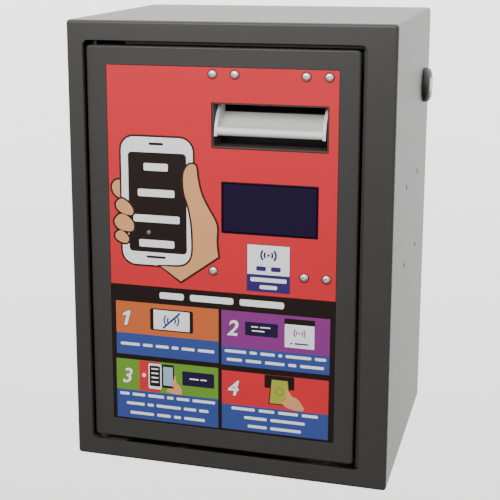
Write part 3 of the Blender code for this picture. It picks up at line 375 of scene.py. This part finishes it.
def print_shapes(name, outlines, level, material, grow=0.0):
    """Outlines in X and Z as one thin printed layer; an outline inside another is a hole."""
    curve = bpy.data.curves.new(name, "CURVE")
    curve.dimensions = "2D"
    curve.fill_mode = "BOTH"
    curve.extrude = FILM / 2 * MM
    for outline in outlines:
        outline = [p for i, p in enumerate(outline) if math.dist(p, outline[i - 1]) > 0.01]
        if grow:
            outline = widened(outline, grow)
        line = curve.splines.new("POLY")
        line.points.add(len(outline) - 1)
        for point, (x, z) in zip(line.points, outline):
            point.co = (x * MM, z * MM, 0.0, 1.0)
        line.use_cyclic_u = True
    lay_film(name, curve, level, material)


def lay_film(name, curve, level, material):
    """Turn a flat curve or text into a mesh lying on the overlay's face."""
    guide = bpy.data.objects.new(name + "_guide", curve)
    bpy.context.scene.collection.objects.link(guide)
    bpy.context.view_layer.update()
    mesh = bpy.data.meshes.new_from_object(guide.evaluated_get(bpy.context.evaluated_depsgraph_get()))
    bpy.data.objects.remove(guide, do_unlink=True)
    cells = bmesh.new()
    cells.from_mesh(mesh)
    bmesh.ops.remove_doubles(cells, verts=cells.verts, dist=0.000002)
    bmesh.ops.recalc_face_normals(cells, faces=cells.faces)
    for face in cells.faces:
        face.smooth = False
    cells.to_mesh(mesh)
    cells.free()
    piece = link(name, mesh, material)
    stand = Matrix(((1, 0, 0), (0, 0, -1), (0, 1, 0))).to_4x4()
    face_y = OVERLAY_LOW.y - (LAYER_STEP * level + FILM / 2) * MM
    mesh.transform(Matrix.Translation((CABINET_LOW.x, face_y, CABINET_LOW.z)) @ stand)
    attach(piece, "door")
    return piece


def numeral(name, digit, x, z, height, level, material, grow=0.0):
    """A leaning printed digit, from its lower left corner."""
    curve = bpy.data.curves.new(name, "FONT")
    curve.body = digit
    curve.size = height * TEXT_SIZE * MM
    curve.shear = 0.22
    curve.extrude = FILM / 2 * MM
    curve.offset = (HEAVY_FACE + grow) * MM
    curve.resolution_u = 6
    piece = lay_film(name, curve, level, material)
    piece.data.transform(Matrix.Translation((x * MM, 0.0, z * MM)))
    return piece


def word_bars(words, middle, z, width, height):
    """Plain bars in place of a centred line of words, given as their lengths in letters."""
    total = sum(words) + len(words) - 1
    pitch = width / total
    x = middle - width / 2
    bars = []
    for letters in words:
        bars.append(rounded((x, x + letters * pitch), (z - height / 2, z + height / 2), height * 0.3, 3))
        x += (letters + 1) * pitch
    return bars


def broadcast(cx, cz, size, width):
    """A dot with arcs to its left and right."""
    shapes = [arc_points(cx, cz, size * 0.16, 0, 345, 12)]
    for reach in (0.5, 0.92):
        for facing in (0, 180):
            shapes.append(band(cx, cz, size * reach, width, facing - 42, facing + 42))
    return shapes


# ---- Printed overlay -------------------------------------------------------------------------
PEEPHOLE = arc_points(*PEEPHOLE_CENTRE, 2.2, 0, 342, 19)


def print_background(ink):
    """Red field with its openings, dark rings around the screws (painted shade round each head over the dark
    paint in the overlay's holes) and bars for the title.
    """
    field = rounded((30.55, 208.45), (145.0, 316.35), 0.3, 2)
    mouth, window = rounded(*MOUTH, 0.8, 3), rounded(*WINDOW, 0.8, 3)
    print_shapes("print_red_field", [field, mouth, window, PEEPHOLE], 0, ink["red_print"])
    # Dark printed rings round the screw heads: painted shade of the gap round each head, over the dark paint
    # seen through the overlay's screw holes.
    screw_shade_rings = []
    for number in range(1, 8):
        low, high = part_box("front_screw_%d" % number)
        spot = ((low + high) / 2.0 - CABINET_LOW) / MM
        screw_shade_rings.append(arc_points(spot.x, spot.z, 3.75, 0, 348, 30))
    print_shapes("print_screw_shade_rings", screw_shade_rings, 1, ink["outline_print"])
    title = word_bars((4, 7, 7), 120.0, 138.2, 99.0, 5.2)
    print_shapes("print_title_bars", title, 1, ink["white_print"])


def print_phone(ink):
    """A hand holding a phone, with bars in place of the words on its screen."""
    body = rounded((41.0, 98.4), (162.3, 262.4), 10.5)
    finger_behind = flowing(((41.5, 227.2), (36.5, 227.6), (33.2, 223.5), (34.2, 218.0),
                             (38.0, 214.5), (42.0, 213.0), (46.0, 220.0)))
    print_shapes("print_finger_behind_edge", [finger_behind], 1, ink["outline_print"], LINE)
    print_shapes("print_finger_behind", [finger_behind], 2, ink["skin_print"])
    print_shapes("print_phone_edge", [body, PEEPHOLE], 3, ink["outline_print"], LINE)
    print_shapes("print_phone_body", [body, PEEPHOLE], 4, ink["white_print"])
    screen = rounded((46.6, 93.2), (172.5, 250.6), 3.0)
    marks = [rounded((63.6, 75.0), (256.3, 258.3), 0.8, 3), rounded((60.4, 76.0), (167.8, 169.6), 0.8, 3)]
    print_shapes("print_phone_screen", [screen, PEEPHOLE, *marks], 5, ink["black_print"])
    lines = []
    middle, half_height = 68.9, 2.9
    for width, z in ((19.5, 239.4), (29.5, 219.2), (37.5, 199.0), (28.5, 179.4)):
        x = (middle - width / 2, middle + width / 2)
        lines.append(rounded(x, (z - half_height, z + half_height), 1.2, 4))
    print_shapes("print_phone_bars", lines, 6, ink["white_print"])
    fingers = [
        flowing(((40.5, 213.4), (46.0, 210.8), (50.0, 205.5), (49.2, 201.2),
                 (43.5, 201.4), (37.8, 204.5), (36.2, 209.5))),
        flowing(((39.5, 201.2), (45.5, 199.8), (50.2, 194.5), (49.6, 188.8),
                 (43.5, 188.0), (36.8, 190.5), (34.8, 196.0))),
        flowing(((39.0, 188.2), (43.0, 186.6), (46.2, 182.4), (44.8, 178.9),
                 (40.5, 178.8), (36.0, 181.4), (35.4, 185.4))),
    ]
    for number, finger in enumerate(fingers, 1):
        print_shapes("print_finger_edge_%d" % number, [finger], 7, ink["outline_print"], LINE)
    print_shapes("print_fingers", fingers, 8, ink["skin_print"])
    side = flowing(((118.0, 172.6), (116.8, 184.0), (117.2, 195.0), (115.2, 201.5), (110.2, 210.0),
                    (105.0, 220.5), (102.2, 232.0), (101.4, 239.0), (99.8, 242.9), (95.0, 242.4),
                    (91.6, 237.2), (90.7, 229.5), (91.8, 219.8), (94.8, 210.5), (97.2, 198.0),
                    (98.0, 186.0), (97.8, 174.0), (95.6, 167.6), (91.0, 163.6), (86.0, 162.3)), False)
    wrist = [(72.0, 162.0), (88.2, 151.0)]
    hand = side + wrist
    print_shapes("print_hand_edge", [hand], 7, ink["outline_print"], LINE)
    print_shapes("print_hand", [hand], 8, ink["skin_print"])


def print_tile(ink):
    """Wireless tile: a broadcast symbol over a navy footer."""
    print_shapes("print_tile_edge", [rounded((140.4, 173.9), (147.8, 184.8), 0.6, 3)], 1, ink["navy_print"])
    print_shapes("print_tile_card", [rounded((140.9, 173.4), (161.4, 184.3), 0.4, 3)], 2, ink["white_print"])
    print_shapes("print_tile_symbol", broadcast(157.2, 176.6, 6.2, 1.5), 3, ink["navy_print"])
    word = word_bars((2, 2), 157.2, 166.0, 19.0, 3.6)
    print_shapes("print_tile_word", word, 3, ink["navy_print"])
    footer = word_bars((9,), 157.2, 157.3, 28.0, 3.2) + word_bars((4,), 157.2, 151.6, 13.5, 3.0)
    print_shapes("print_tile_footer", footer, 2, ink["white_print"])


def print_panel(ink, number, x, z, split, colour, lines, text_z):
    """One instruction panel: coloured picture field, blue text field, numeral and bars."""
    name = "print_step_%d_" % number
    print_shapes(name + "field", [rounded(x, (split, z[1]), 0.3, 2)], 1, ink[colour])
    print_shapes(name + "text_field", [rounded(x, (z[0], split), 0.3, 2)], 1, ink["blue_print"])
    bars = []
    middle = (x[0] + x[1]) / 2
    for (words, width), line_z in zip(lines, text_z):
        bars += word_bars(words, middle, line_z, width, 2.3)
    print_shapes(name + "bars", bars, 2, ink["white_print"])
    left, foot, height, edge = x[0] + 4.2, z[1] - 19.6, 12.4, 0.35
    if number == 1:
        corners = ((6.4, 0.0), (9.2, 0.0), (12.4, 12.2), (10.4, 12.2), (5.6, 9.6), (6.0, 7.4), (8.9, 8.8))
        one = [(x[0] + u, foot + v) for u, v in corners]
        print_shapes(name + "numeral_edge", [one], 2, ink["outline_print"], 0.4)
        print_shapes(name + "numeral", [one], 3, ink["white_print"])
    else:
        numeral(name + "numeral_edge", str(number), left, foot, height, 2, ink["outline_print"], edge)
        numeral(name + "numeral", str(number), left, foot, height, 3, ink["white_print"])


def print_step_1(ink):
    """A phone with a struck-out broadcast symbol."""
    lines = (((6, 3, 4, 2, 4, 5), 77.0),)
    print_panel(ink, 1, (34.1, 118.1), (87.4, 131.1), 105.1, "orange_print", lines, (96.2,))
    phone = rounded((62.5, 97.6), (109.4, 127.2), 1.6, 4)
    screen = rounded((65.3, 94.8), (110.4, 126.2), 0.4, 3)
    print_shapes("print_step_1_phone", [phone], 2, ink["black_print"])
    print_shapes("print_step_1_screen", [screen], 3, ink["white_print"])
    symbol = broadcast(80.0, 118.3, 6.4, 1.3)
    print_shapes("print_step_1_symbol", symbol, 4, ink["blue_print"])
    print_shapes("print_step_1_slash", [stroke(73.0, 111.6, 87.0, 125.0, 1.4)], 5, ink["navy_print"])


def print_step_2(ink):
    """A display beside a phone with a broadcast symbol."""
    lines = (((6, 2, 4, 1, 7, 3), 79.0), ((4, 4, 5, 2, 6), 76.0))
    print_panel(ink, 2, (120.4, 204.8), (86.8, 131.0), 101.8, "purple_print", lines, (98.4, 91.6))
    display = rounded((139.2, 164.9), (112.4, 123.2), 0.8, 3)
    print_shapes("print_step_2_display", [display], 2, ink["night_print"])
    bars = word_bars((4, 6), 151.5, 119.6, 15.0, 1.0) + word_bars((6,), 149.5, 116.4, 10.0, 1.0)
    print_shapes("print_step_2_display_bars", bars, 3, ink["white_print"])
    top = rounded((169.8, 193.4), (121.0, 128.6), 0.8, 3)
    phone = rounded((170.2, 193.0), (105.8, 124.2), 0.5, 3)
    print_shapes("print_step_2_phone_top", [top], 2, ink["black_print"])
    print_shapes("print_step_2_phone", [phone], 3, ink["white_print"])
    print_shapes("print_step_2_symbol", broadcast(181.6, 117.6, 4.6, 0.9), 4, ink["purple_print"])
    print_shapes("print_step_2_phone_bars", word_bars((1, 7), 181.6, 109.2, 14.0, 1.2), 4, ink["navy_print"])


def print_step_3(ink):
    """A hand holding a phone to a small picture of the overlay, beside a display."""
    lines = (((3, 4, 5, 2, 4, 7), 79.0), ((6, 2, 8, 4, 3), 68.0), ((7, 4, 2, 6), 62.0))
    print_panel(ink, 3, (33.5, 117.7), (33.8, 83.4), 57.7, "green_print", lines, (54.2, 46.4, 38.6))
    print_shapes("print_step_3_strip", [rounded((52.7, 70.0), (57.9, 83.2), 0.2, 2)], 2, ink["red_print"])
    print_shapes("print_step_3_spot", [arc_points(56.6, 71.2, 1.6, 0, 345, 12)], 3, ink["white_print"])
    poster = rounded((60.3, 71.2), (60.4, 81.6), 1.2, 4)
    print_shapes("print_step_3_poster_edge", [poster], 2, ink["outline_print"], 0.35)
    print_shapes("print_step_3_poster", [poster], 3, ink["white_print"])
    poster_screen = rounded((61.4, 70.1), (62.8, 79.8), 0.4, 3)
    print_shapes("print_step_3_poster_screen", [poster_screen], 4, ink["black_print"])
    bars = [rounded((62.8, 68.6), (z - 0.6, z + 0.6), 0.3, 2) for z in (77.2, 73.6, 70.0, 66.4)]
    print_shapes("print_step_3_poster_bars", bars, 5, ink["white_print"])
    hand = flowing(((76.5, 62.0), (79.5, 66.5), (80.8, 72.8), (83.0, 72.4), (83.6, 68.0),
                    (87.0, 64.0), (88.0, 58.6), (82.0, 57.9), (75.5, 59.5)))
    print_shapes("print_step_3_hand", [hand], 4, ink["skin_print"])
    print_shapes("print_step_3_phone", [rounded((71.8, 81.6), (62.4, 81.8), 1.2, 4)], 5, ink["black_print"])
    phone_screen = rounded((72.8, 80.6), (64.4, 79.9), 0.3, 2)
    print_shapes("print_step_3_phone_screen", [phone_screen], 6, ink["sky_print"])
    thumb = flowing(((79.2, 66.6), (81.6, 70.4), (83.2, 69.4), (82.6, 65.4), (80.4, 63.6)))
    print_shapes("print_step_3_thumb", [thumb], 7, ink["skin_print"])
    display = rounded((88.4, 114.4), (66.0, 77.8), 0.8, 3)
    print_shapes("print_step_3_display", [display], 2, ink["night_print"])
    words = word_bars((6, 4), 101.4, 72.0, 14.0, 1.1)
    print_shapes("print_step_3_display_bars", words, 3, ink["white_print"])


def print_step_4(ink):
    """A hand feeding a plain note into a slot."""
    lines = (((6, 4, 5, 4), 68.0), ((6, 9), 48.0), ((5, 8), 42.0))
    print_panel(ink, 4, (120.5, 204.5), (34.3, 82.3), 54.9, "red_print", lines, (52.0, 45.2, 38.4))
    print_shapes("print_step_4_slot", [rounded((154.7, 178.0), (71.6, 82.1), 0.6, 3)], 2, ink["black_print"])
    note = [(160.4, 78.6), (172.8, 78.6), (174.6, 59.4), (158.8, 59.4)]
    print_shapes("print_step_4_note_edge", [note], 3, ink["outline_print"], 0.8)
    print_shapes("print_step_4_note", [note], 4, ink["note_print"])
    outer, inner = (arc_points(166.6, 69.4, radius, 0, 345, 16) for radius in (3.4, 2.5))
    print_shapes("print_step_4_note_ring", [outer, inner[::-1]], 5, ink["green_print"])
    hand = flowing(((171.0, 70.0), (173.6, 70.6), (176.0, 67.0), (180.5, 64.8), (184.4, 60.0), (185.4, 56.0),
                    (178.0, 55.6), (171.6, 57.4), (168.8, 60.6), (171.4, 63.4)))
    print_shapes("print_step_4_hand", [hand], 6, ink["skin_print"])


# ---- Finishes on the CAD parts ---------------------------------------------------------------
def dress_parts(m):
    """Every CAD node's finish and the width of its rounded edges."""
    for node in ("hinge_bracket_top", "hinge_bracket_bottom", "rear_panel"):
        dress(node, m["paint"], 0.35)
    dress("cabinet_body", m["paint"], 0.9, 3)
    dress("door_panel", m["paint"], 0.3)
    for node in ("hinge_pin_top", "hinge_pin_bottom"):
        dress(node, m["dark_steel"], 0.2)
    steel = ("lock_nut", "latch_guide_1", "latch_guide_2", "latch_plate",
             "latch_keeper_upper", "latch_keeper_lower", "validator_bracket", "head_pin", "drive_motor",
             "stacker_motor", "front_drive_shaft", "rear_drive_shaft", "pressure_plate", "lock_cam")
    for node in steel:
        dress(node, m["zinc"], 0.25)
    dress("power_supply", m["zinc"], 0.3)
    dress("lock_plug", m["nickel"], 0.15)
    dress("lock_housing", m["lock"], 0.4, 3)
    for number in range(1, 8):
        dress("front_screw_%d" % number, m["nickel"], 0.15)
    for node in ("network_box", "aerial", "lower_chassis", "upper_head", "stacker_frame", "hinge_washer"):
        dress(node, m["black"], 0.3)
    dress("mouth_surround", m["dark_mouth_moulding"], 0.25)
    dress("mouth_bezel", m["ivory"], 0.5, 3)
    dress("pusher_plate", m["ivory"], 0.3)
    dress("cassette_housing", m["cassette"], 0.5)
    dress("cassette_lid", m["cassette"], 0.4)
    for node in ("front_idler_roller", "rear_idler_roller"):
        dress(node, m["nylon"], 0.25)
    for node in ("front_drive_roller", "rear_drive_roller", "drive_belt"):
        dress(node, m["rubber"], 0.2)
    for node in ("motor_pulley", "lead_screw"):
        dress(node, m["brass"], 0.15)
    for node in ("main_board", "display_board", "sensor_board", "validator_board"):
        dress(node, m["board"], 0.1)
    dress("front_overlay", m["black_print"])
    dress("display_lens", m["screen"], 0.2)
    dress("display_module", m["screen"], 0.2)
    dress("sensor_lens", m["smoke"], 0.2)
    dress("release_button", m["blue_button"], 0.3)
    dress("display_cable", m["cable"])


# ---- Fine pieces -----------------------------------------------------------------------------
def mesh_piece(name, build, material, body):
    """A detail built with bmesh in row-frame metres, riding on a body."""
    cells = bmesh.new()
    build(cells)
    mesh = bpy.data.meshes.new(name)
    cells.to_mesh(mesh)
    cells.free()
    mesh.shade_smooth()
    mesh.set_sharp_from_angle(angle=math.radians(35.0))
    piece = link(name, mesh, material)
    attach(piece, body)
    return piece


def add_block(cells, x, y, z, edge=0.25):
    """A box between two corners in millimetres, with rounded edges."""
    low, high = at(x[0], y[0], z[0]), at(x[1], y[1], z[1])
    made = bmesh.ops.create_cube(cells, size=1.0)
    size = high - low
    bmesh.ops.scale(cells, vec=size, verts=made["verts"])
    bmesh.ops.translate(cells, vec=(low + high) / 2.0, verts=made["verts"])
    if edge > 0.0:
        edges = {e for v in made["verts"] for e in v.link_edges}
        width = min(edge * MM, 0.3 * min(size))
        bmesh.ops.bevel(cells, geom=list(edges), offset=width, segments=2, profile=0.5, affect="EDGES")


def add_turned(cells, axis, centre, profile, sides=28):
    """A turned shape: (radius, station) pairs along the X or Y axis, in millimetres."""
    rings = []
    for radius, station in profile:
        ring = []
        for i in range(sides if radius > 0.0 else 1):
            angle = 2.0 * math.pi * i / sides
            u, v = radius * math.cos(angle), radius * math.sin(angle)
            a, b = centre[0] + u, centre[1] + v
            spot = (station, a, b) if axis == "X" else (a, station, b)
            ring.append(cells.verts.new(at(*spot)))
        rings.append(ring)
    fresh = []
    for first, second in zip(rings, rings[1:]):
        for i in range(sides):
            j = (i + 1) % sides
            corners = [first[i % len(first)], first[j % len(first)],
                       second[j % len(second)], second[i % len(second)]]
            unique = [v for k, v in enumerate(corners) if v not in corners[:k]]
            if len(unique) > 2:
                fresh.append(cells.faces.new(unique))
    bmesh.ops.recalc_face_normals(cells, faces=fresh)


def turned_piece(name, axis, centre, profile, material, body, sides=28):
    """A turned detail that rides on a body."""
    mesh_piece(name, lambda cells: add_turned(cells, axis, centre, profile, sides), material, body)


def cross_piece(name, axis, centre, station, depth, reach, width, material, body):
    """Two dark crossed bars, just proud of a screw's head: painted shade that stands for its cross recess."""
    def build(cells):
        for wide, high in ((reach, width), (width, reach)):
            a = (centre[0] - wide / 2, centre[0] + wide / 2)
            b = (centre[1] - high / 2, centre[1] + high / 2)
            span = (station - depth, station)
            spans = (span, a, b) if axis == "X" else (a, span, b)
            add_block(cells, *spans, edge=0.0)
    mesh_piece(name, build, material, body)


def side_wall_screws(m):
    """Countersunk screws that hold the power supply to the right wall."""
    wall = RIGHT_WALL_X
    profile = ((0.0, wall + 0.45), (1.2, wall + 0.42), (2.3, wall + 0.2), (2.6, wall - 0.02),
               (1.5, wall - 1.4), (1.5, wall - 3.2), (0.0, wall - 3.2))
    spots = [(y, z) for y in (70.5, 137.2) for z in (158.5, 220.5)]
    for number, spot in enumerate(spots, 1):
        turned_piece("supply_screw_%d" % number, "X", spot, profile, m["dark_steel"], "cabinet")
        # The dark cross is painted shade where the screw's cross recess is.
        cross_piece("supply_screw_recess_%d" % number, "X", spot, wall + 0.47, 0.2, 2.6, 0.55,
                    m["chip"], "cabinet")


def rear_border_screws(m):
    """Low pan-head screws that hold the rear panel to the back border."""
    rear = REAR_PANEL_Y
    profile = ((0.0, rear + 1.1), (1.6, rear + 1.0), (2.7, rear + 0.6), (3.1, rear + 0.02),
               (3.1, rear - 0.1), (0.0, rear - 0.1))
    spots = [(x, z) for x in (7.0, 243.0) for z in (40.0, 175.0, 310.0)]
    for number, spot in enumerate(spots, 1):
        turned_piece("rear_screw_%d" % number, "Y", spot, profile, m["nickel"], "cabinet")
        # The dark cross is painted shade where the screw's cross recess is.
        cross_piece("rear_screw_recess_%d" % number, "Y", spot, rear + 1.14, 0.25, 3.2, 0.6,
                    m["chip"], "cabinet")


def lock_details(m):
    """Turned ring on the lock's face and the screw that holds its cam."""
    face, inner, outer, chamfer = 255.78, 9.6, 10.6, 0.3
    foot, shoulder = face - 0.28, face - 0.06
    ring = ((inner, foot), (inner, shoulder), (inner + chamfer, face), (outer - chamfer, face),
            (outer, shoulder), (outer, foot), (inner, foot))
    turned_piece("lock_face_ring", "X", LOCK_CENTRE, ring, m["dark_steel"], "cabinet", 40)
    screw = ((0.0, 232.9), (2.2, 232.9), (2.9, 233.5), (2.9, 235.1), (1.6, 235.1), (1.6, 235.9), (0.0, 235.9))
    turned_piece("cam_screw", "X", LOCK_CENTRE, screw, m["nickel"], "lock")


def display_details(m):
    """Black border printed on the window's edge."""
    outer = rounded((121.2, 193.9), (192.2, 230.5), 0.8, 3)
    inner = rounded((122.3, 192.8), (193.3, 229.4), 0.4, 3)
    print_shapes("display_border", [outer, inner], 0, m["screen_edge"])


def board_parts(prefix, body, face, out, normal, spots, m):
    """Components on a board: chips, metal cans, white sockets, plugs and copper terminals.

    A board's face is at a station along its normal and looks in the direction out, 1 or -1.
    Spots give the kind, the two coordinates in the board's plane and the three sizes.
    """
    groups = {}
    for spot in spots:
        groups.setdefault(spot[0], []).append(spot[1:])
    looks = {"chip": ("chip", "black_plastic"), "can": ("zinc", "zinc_steel"), "socket": ("nylon", "nylon"),
             "part": ("copper", "brass"), "plug": ("black", "black_plastic")}
    sunk = face - out * 0.3

    def add_can(cells, u, v, wide, tall):
        r, top = wide / 2, face + out * tall
        profile = ((0.0, top), (r - 0.5, top), (r, top - out * 0.5), (r, sunk), (0.0, sunk))
        add_turned(cells, normal, (u + r, v + r), profile, 20)

    def add_box(cells, u, v, wide, high, tall):
        depth = tuple(sorted((sunk, face + out * tall)))
        a, b = (u, u + wide), (v, v + high)
        spans = (a, depth, b) if normal == "Y" else (depth, a, b)
        add_block(cells, *spans, 0.2)

    for kind, members in groups.items():
        finish, slot = looks[kind]

        def build(cells):
            for u, v, wide, high, tall in members:
                if kind == "can":
                    add_can(cells, u, v, wide, tall)
                else:
                    add_box(cells, u, v, wide, high, tall)
        mesh_piece("%s_%ss" % (prefix, kind), build, m[finish], body)


def boards(m):
    """Small components on every circuit board."""
    row = [("part", 42.0 + 3.4 * i, 252.5, 1.8, 1.0, 0.7) for i in range(10)]
    row += [("part", 70.0, 222.0 + 3.2 * i, 1.0, 1.8, 0.7) for i in range(10)]
    row += [("part", 98.0, 216.0 + 3.4 * i, 1.8, 1.0, 0.7) for i in range(9)]
    main = row + [
        ("can", 42.0, 272.0, 8.0, 8.0, 11.0), ("can", 51.5, 272.0, 8.0, 8.0, 11.0),
        ("can", 96.0, 250.0, 5.0, 5.0, 7.0), ("can", 96.0, 196.0, 6.5, 6.5, 9.0),
        ("socket", 62.0, 275.5, 24.0, 6.0, 8.0), ("socket", 78.0, 193.5, 15.0, 6.0, 8.0),
        ("plug", 88.0, 276.0, 12.0, 9.0, 10.0), ("chip", 72.0, 240.0, 4.0, 4.0, 1.0),
        ("chip", 72.0, 205.0, 5.0, 3.6, 1.2), ("chip", 52.0, 213.0, 9.0, 7.0, 1.4),
        ("chip", 44.0, 260.0, 6.0, 5.0, 1.4), ("chip", 100.0, 205.5, 3.6, 5.0, 1.2),
    ]
    board_parts("main_board", "cabinet", 186.0, -1, "Y", main, m)
    rows = [("part", 34.0, 126.0 + 3.6 * i, 1.0, 1.8, 0.7) for i in range(7)]
    rows += [("part", 56.0 + 3.4 * i, 176.0, 1.8, 1.0, 0.7) for i in range(8)]
    rows += [("part", 64.0 + 3.4 * i, 226.0, 1.8, 1.0, 0.7) for i in range(7)]
    side = rows + [
        ("chip", 56.0, 158.0, 10.0, 10.0, 1.4), ("chip", 40.0, 176.0, 8.0, 6.0, 1.2),
        ("chip", 78.0, 200.0, 7.0, 9.0, 1.4), ("can", 80.0, 160.0, 6.5, 6.5, 8.0),
        ("can", 80.0, 170.0, 6.5, 6.5, 8.0), ("socket", 60.0, 123.0, 14.0, 6.0, 7.0),
        ("socket", 36.0, 200.0, 6.0, 10.0, 6.0), ("plug", 64.0, 212.0, 14.0, 7.0, 6.0),
    ]
    board_parts("validator_board", "door", 107.0, -1, "X", side, m)
    back = [("part", 150.0 + 3.4 * i, 236.0, 1.8, 1.0, 0.7) for i in range(10)]
    back += [("chip", 132.0, 205.0, 14.0, 14.0, 1.4), ("chip", 152.0, 205.0, 14.0, 14.0, 1.4),
             ("chip", 174.0, 208.0, 8.0, 6.0, 1.2), ("can", 186.0, 204.0, 5.0, 5.0, 5.0)]
    board_parts("display_board", "door", 15.9, 1, "Y", back, m)
    little = [("chip", 62.0, 180.0, 5.0, 5.0, 1.2), ("socket", 50.0, 177.0, 8.0, 5.0, 6.0)]
    little += [("part", 64.0 + 3.2 * i, 196.0, 1.8, 1.0, 0.7) for i in range(5)]
    board_parts("sensor_board", "door", 12.2, 1, "Y", little, m)


def coil_spring(m):
    """Conical compression coil for the note plate, in place of the hidden CAD pressure spring."""
    start, end, turns, per_turn, wire, sides = 67.0, 97.0, 5.0, 40, 0.7, 10
    axis_x, axis_z, wide_radius, taper = 158.0, 172.0, 13.0, 5.0
    count = int(turns * per_turn)

    def centre(i):
        t = i / count
        angle = 2.0 * math.pi * turns * t
        radius = wide_radius - taper * t
        return Vector((axis_x + radius * math.cos(angle), start + wire + (end - start - 2 * wire) * t,
                       axis_z + radius * math.sin(angle)))

    def build(cells):
        rings = []
        for i in range(count + 1):
            here = centre(i)
            along = (centre(min(i + 1, count)) - centre(max(i - 1, 0))).normalized()
            out = Vector((here.x - axis_x, 0.0, here.z - axis_z)).normalized()
            up = along.cross(out).normalized()
            ring = []
            for k in range(sides):
                a = 2.0 * math.pi * k / sides
                spot = here + (out * math.cos(a) + up * math.sin(a)) * wire
                ring.append(cells.verts.new(at(*spot)))
            rings.append(ring)
        for first, second in zip(rings, rings[1:]):
            for k in range(sides):
                cells.faces.new((first[k], first[(k + 1) % sides], second[(k + 1) % sides], second[k]))
        cells.faces.new(rings[0])
        cells.faces.new(list(reversed(rings[-1])))
        bmesh.ops.recalc_face_normals(cells, faces=cells.faces)
    coil = mesh_piece("note_spring", build, m["zinc"], "cassette")
    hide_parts("pressure_spring")
    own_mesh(coil)


make_camera()
make_studio()
WELD = settle_group()
FINISHES = make_materials()
for add in (dress_parts, print_background, print_phone, print_tile, print_step_1, print_step_2,
            print_step_3, print_step_4, side_wall_screws, rear_border_screws, lock_details,
            display_details, boards, coil_spring):
    add(FINISHES)
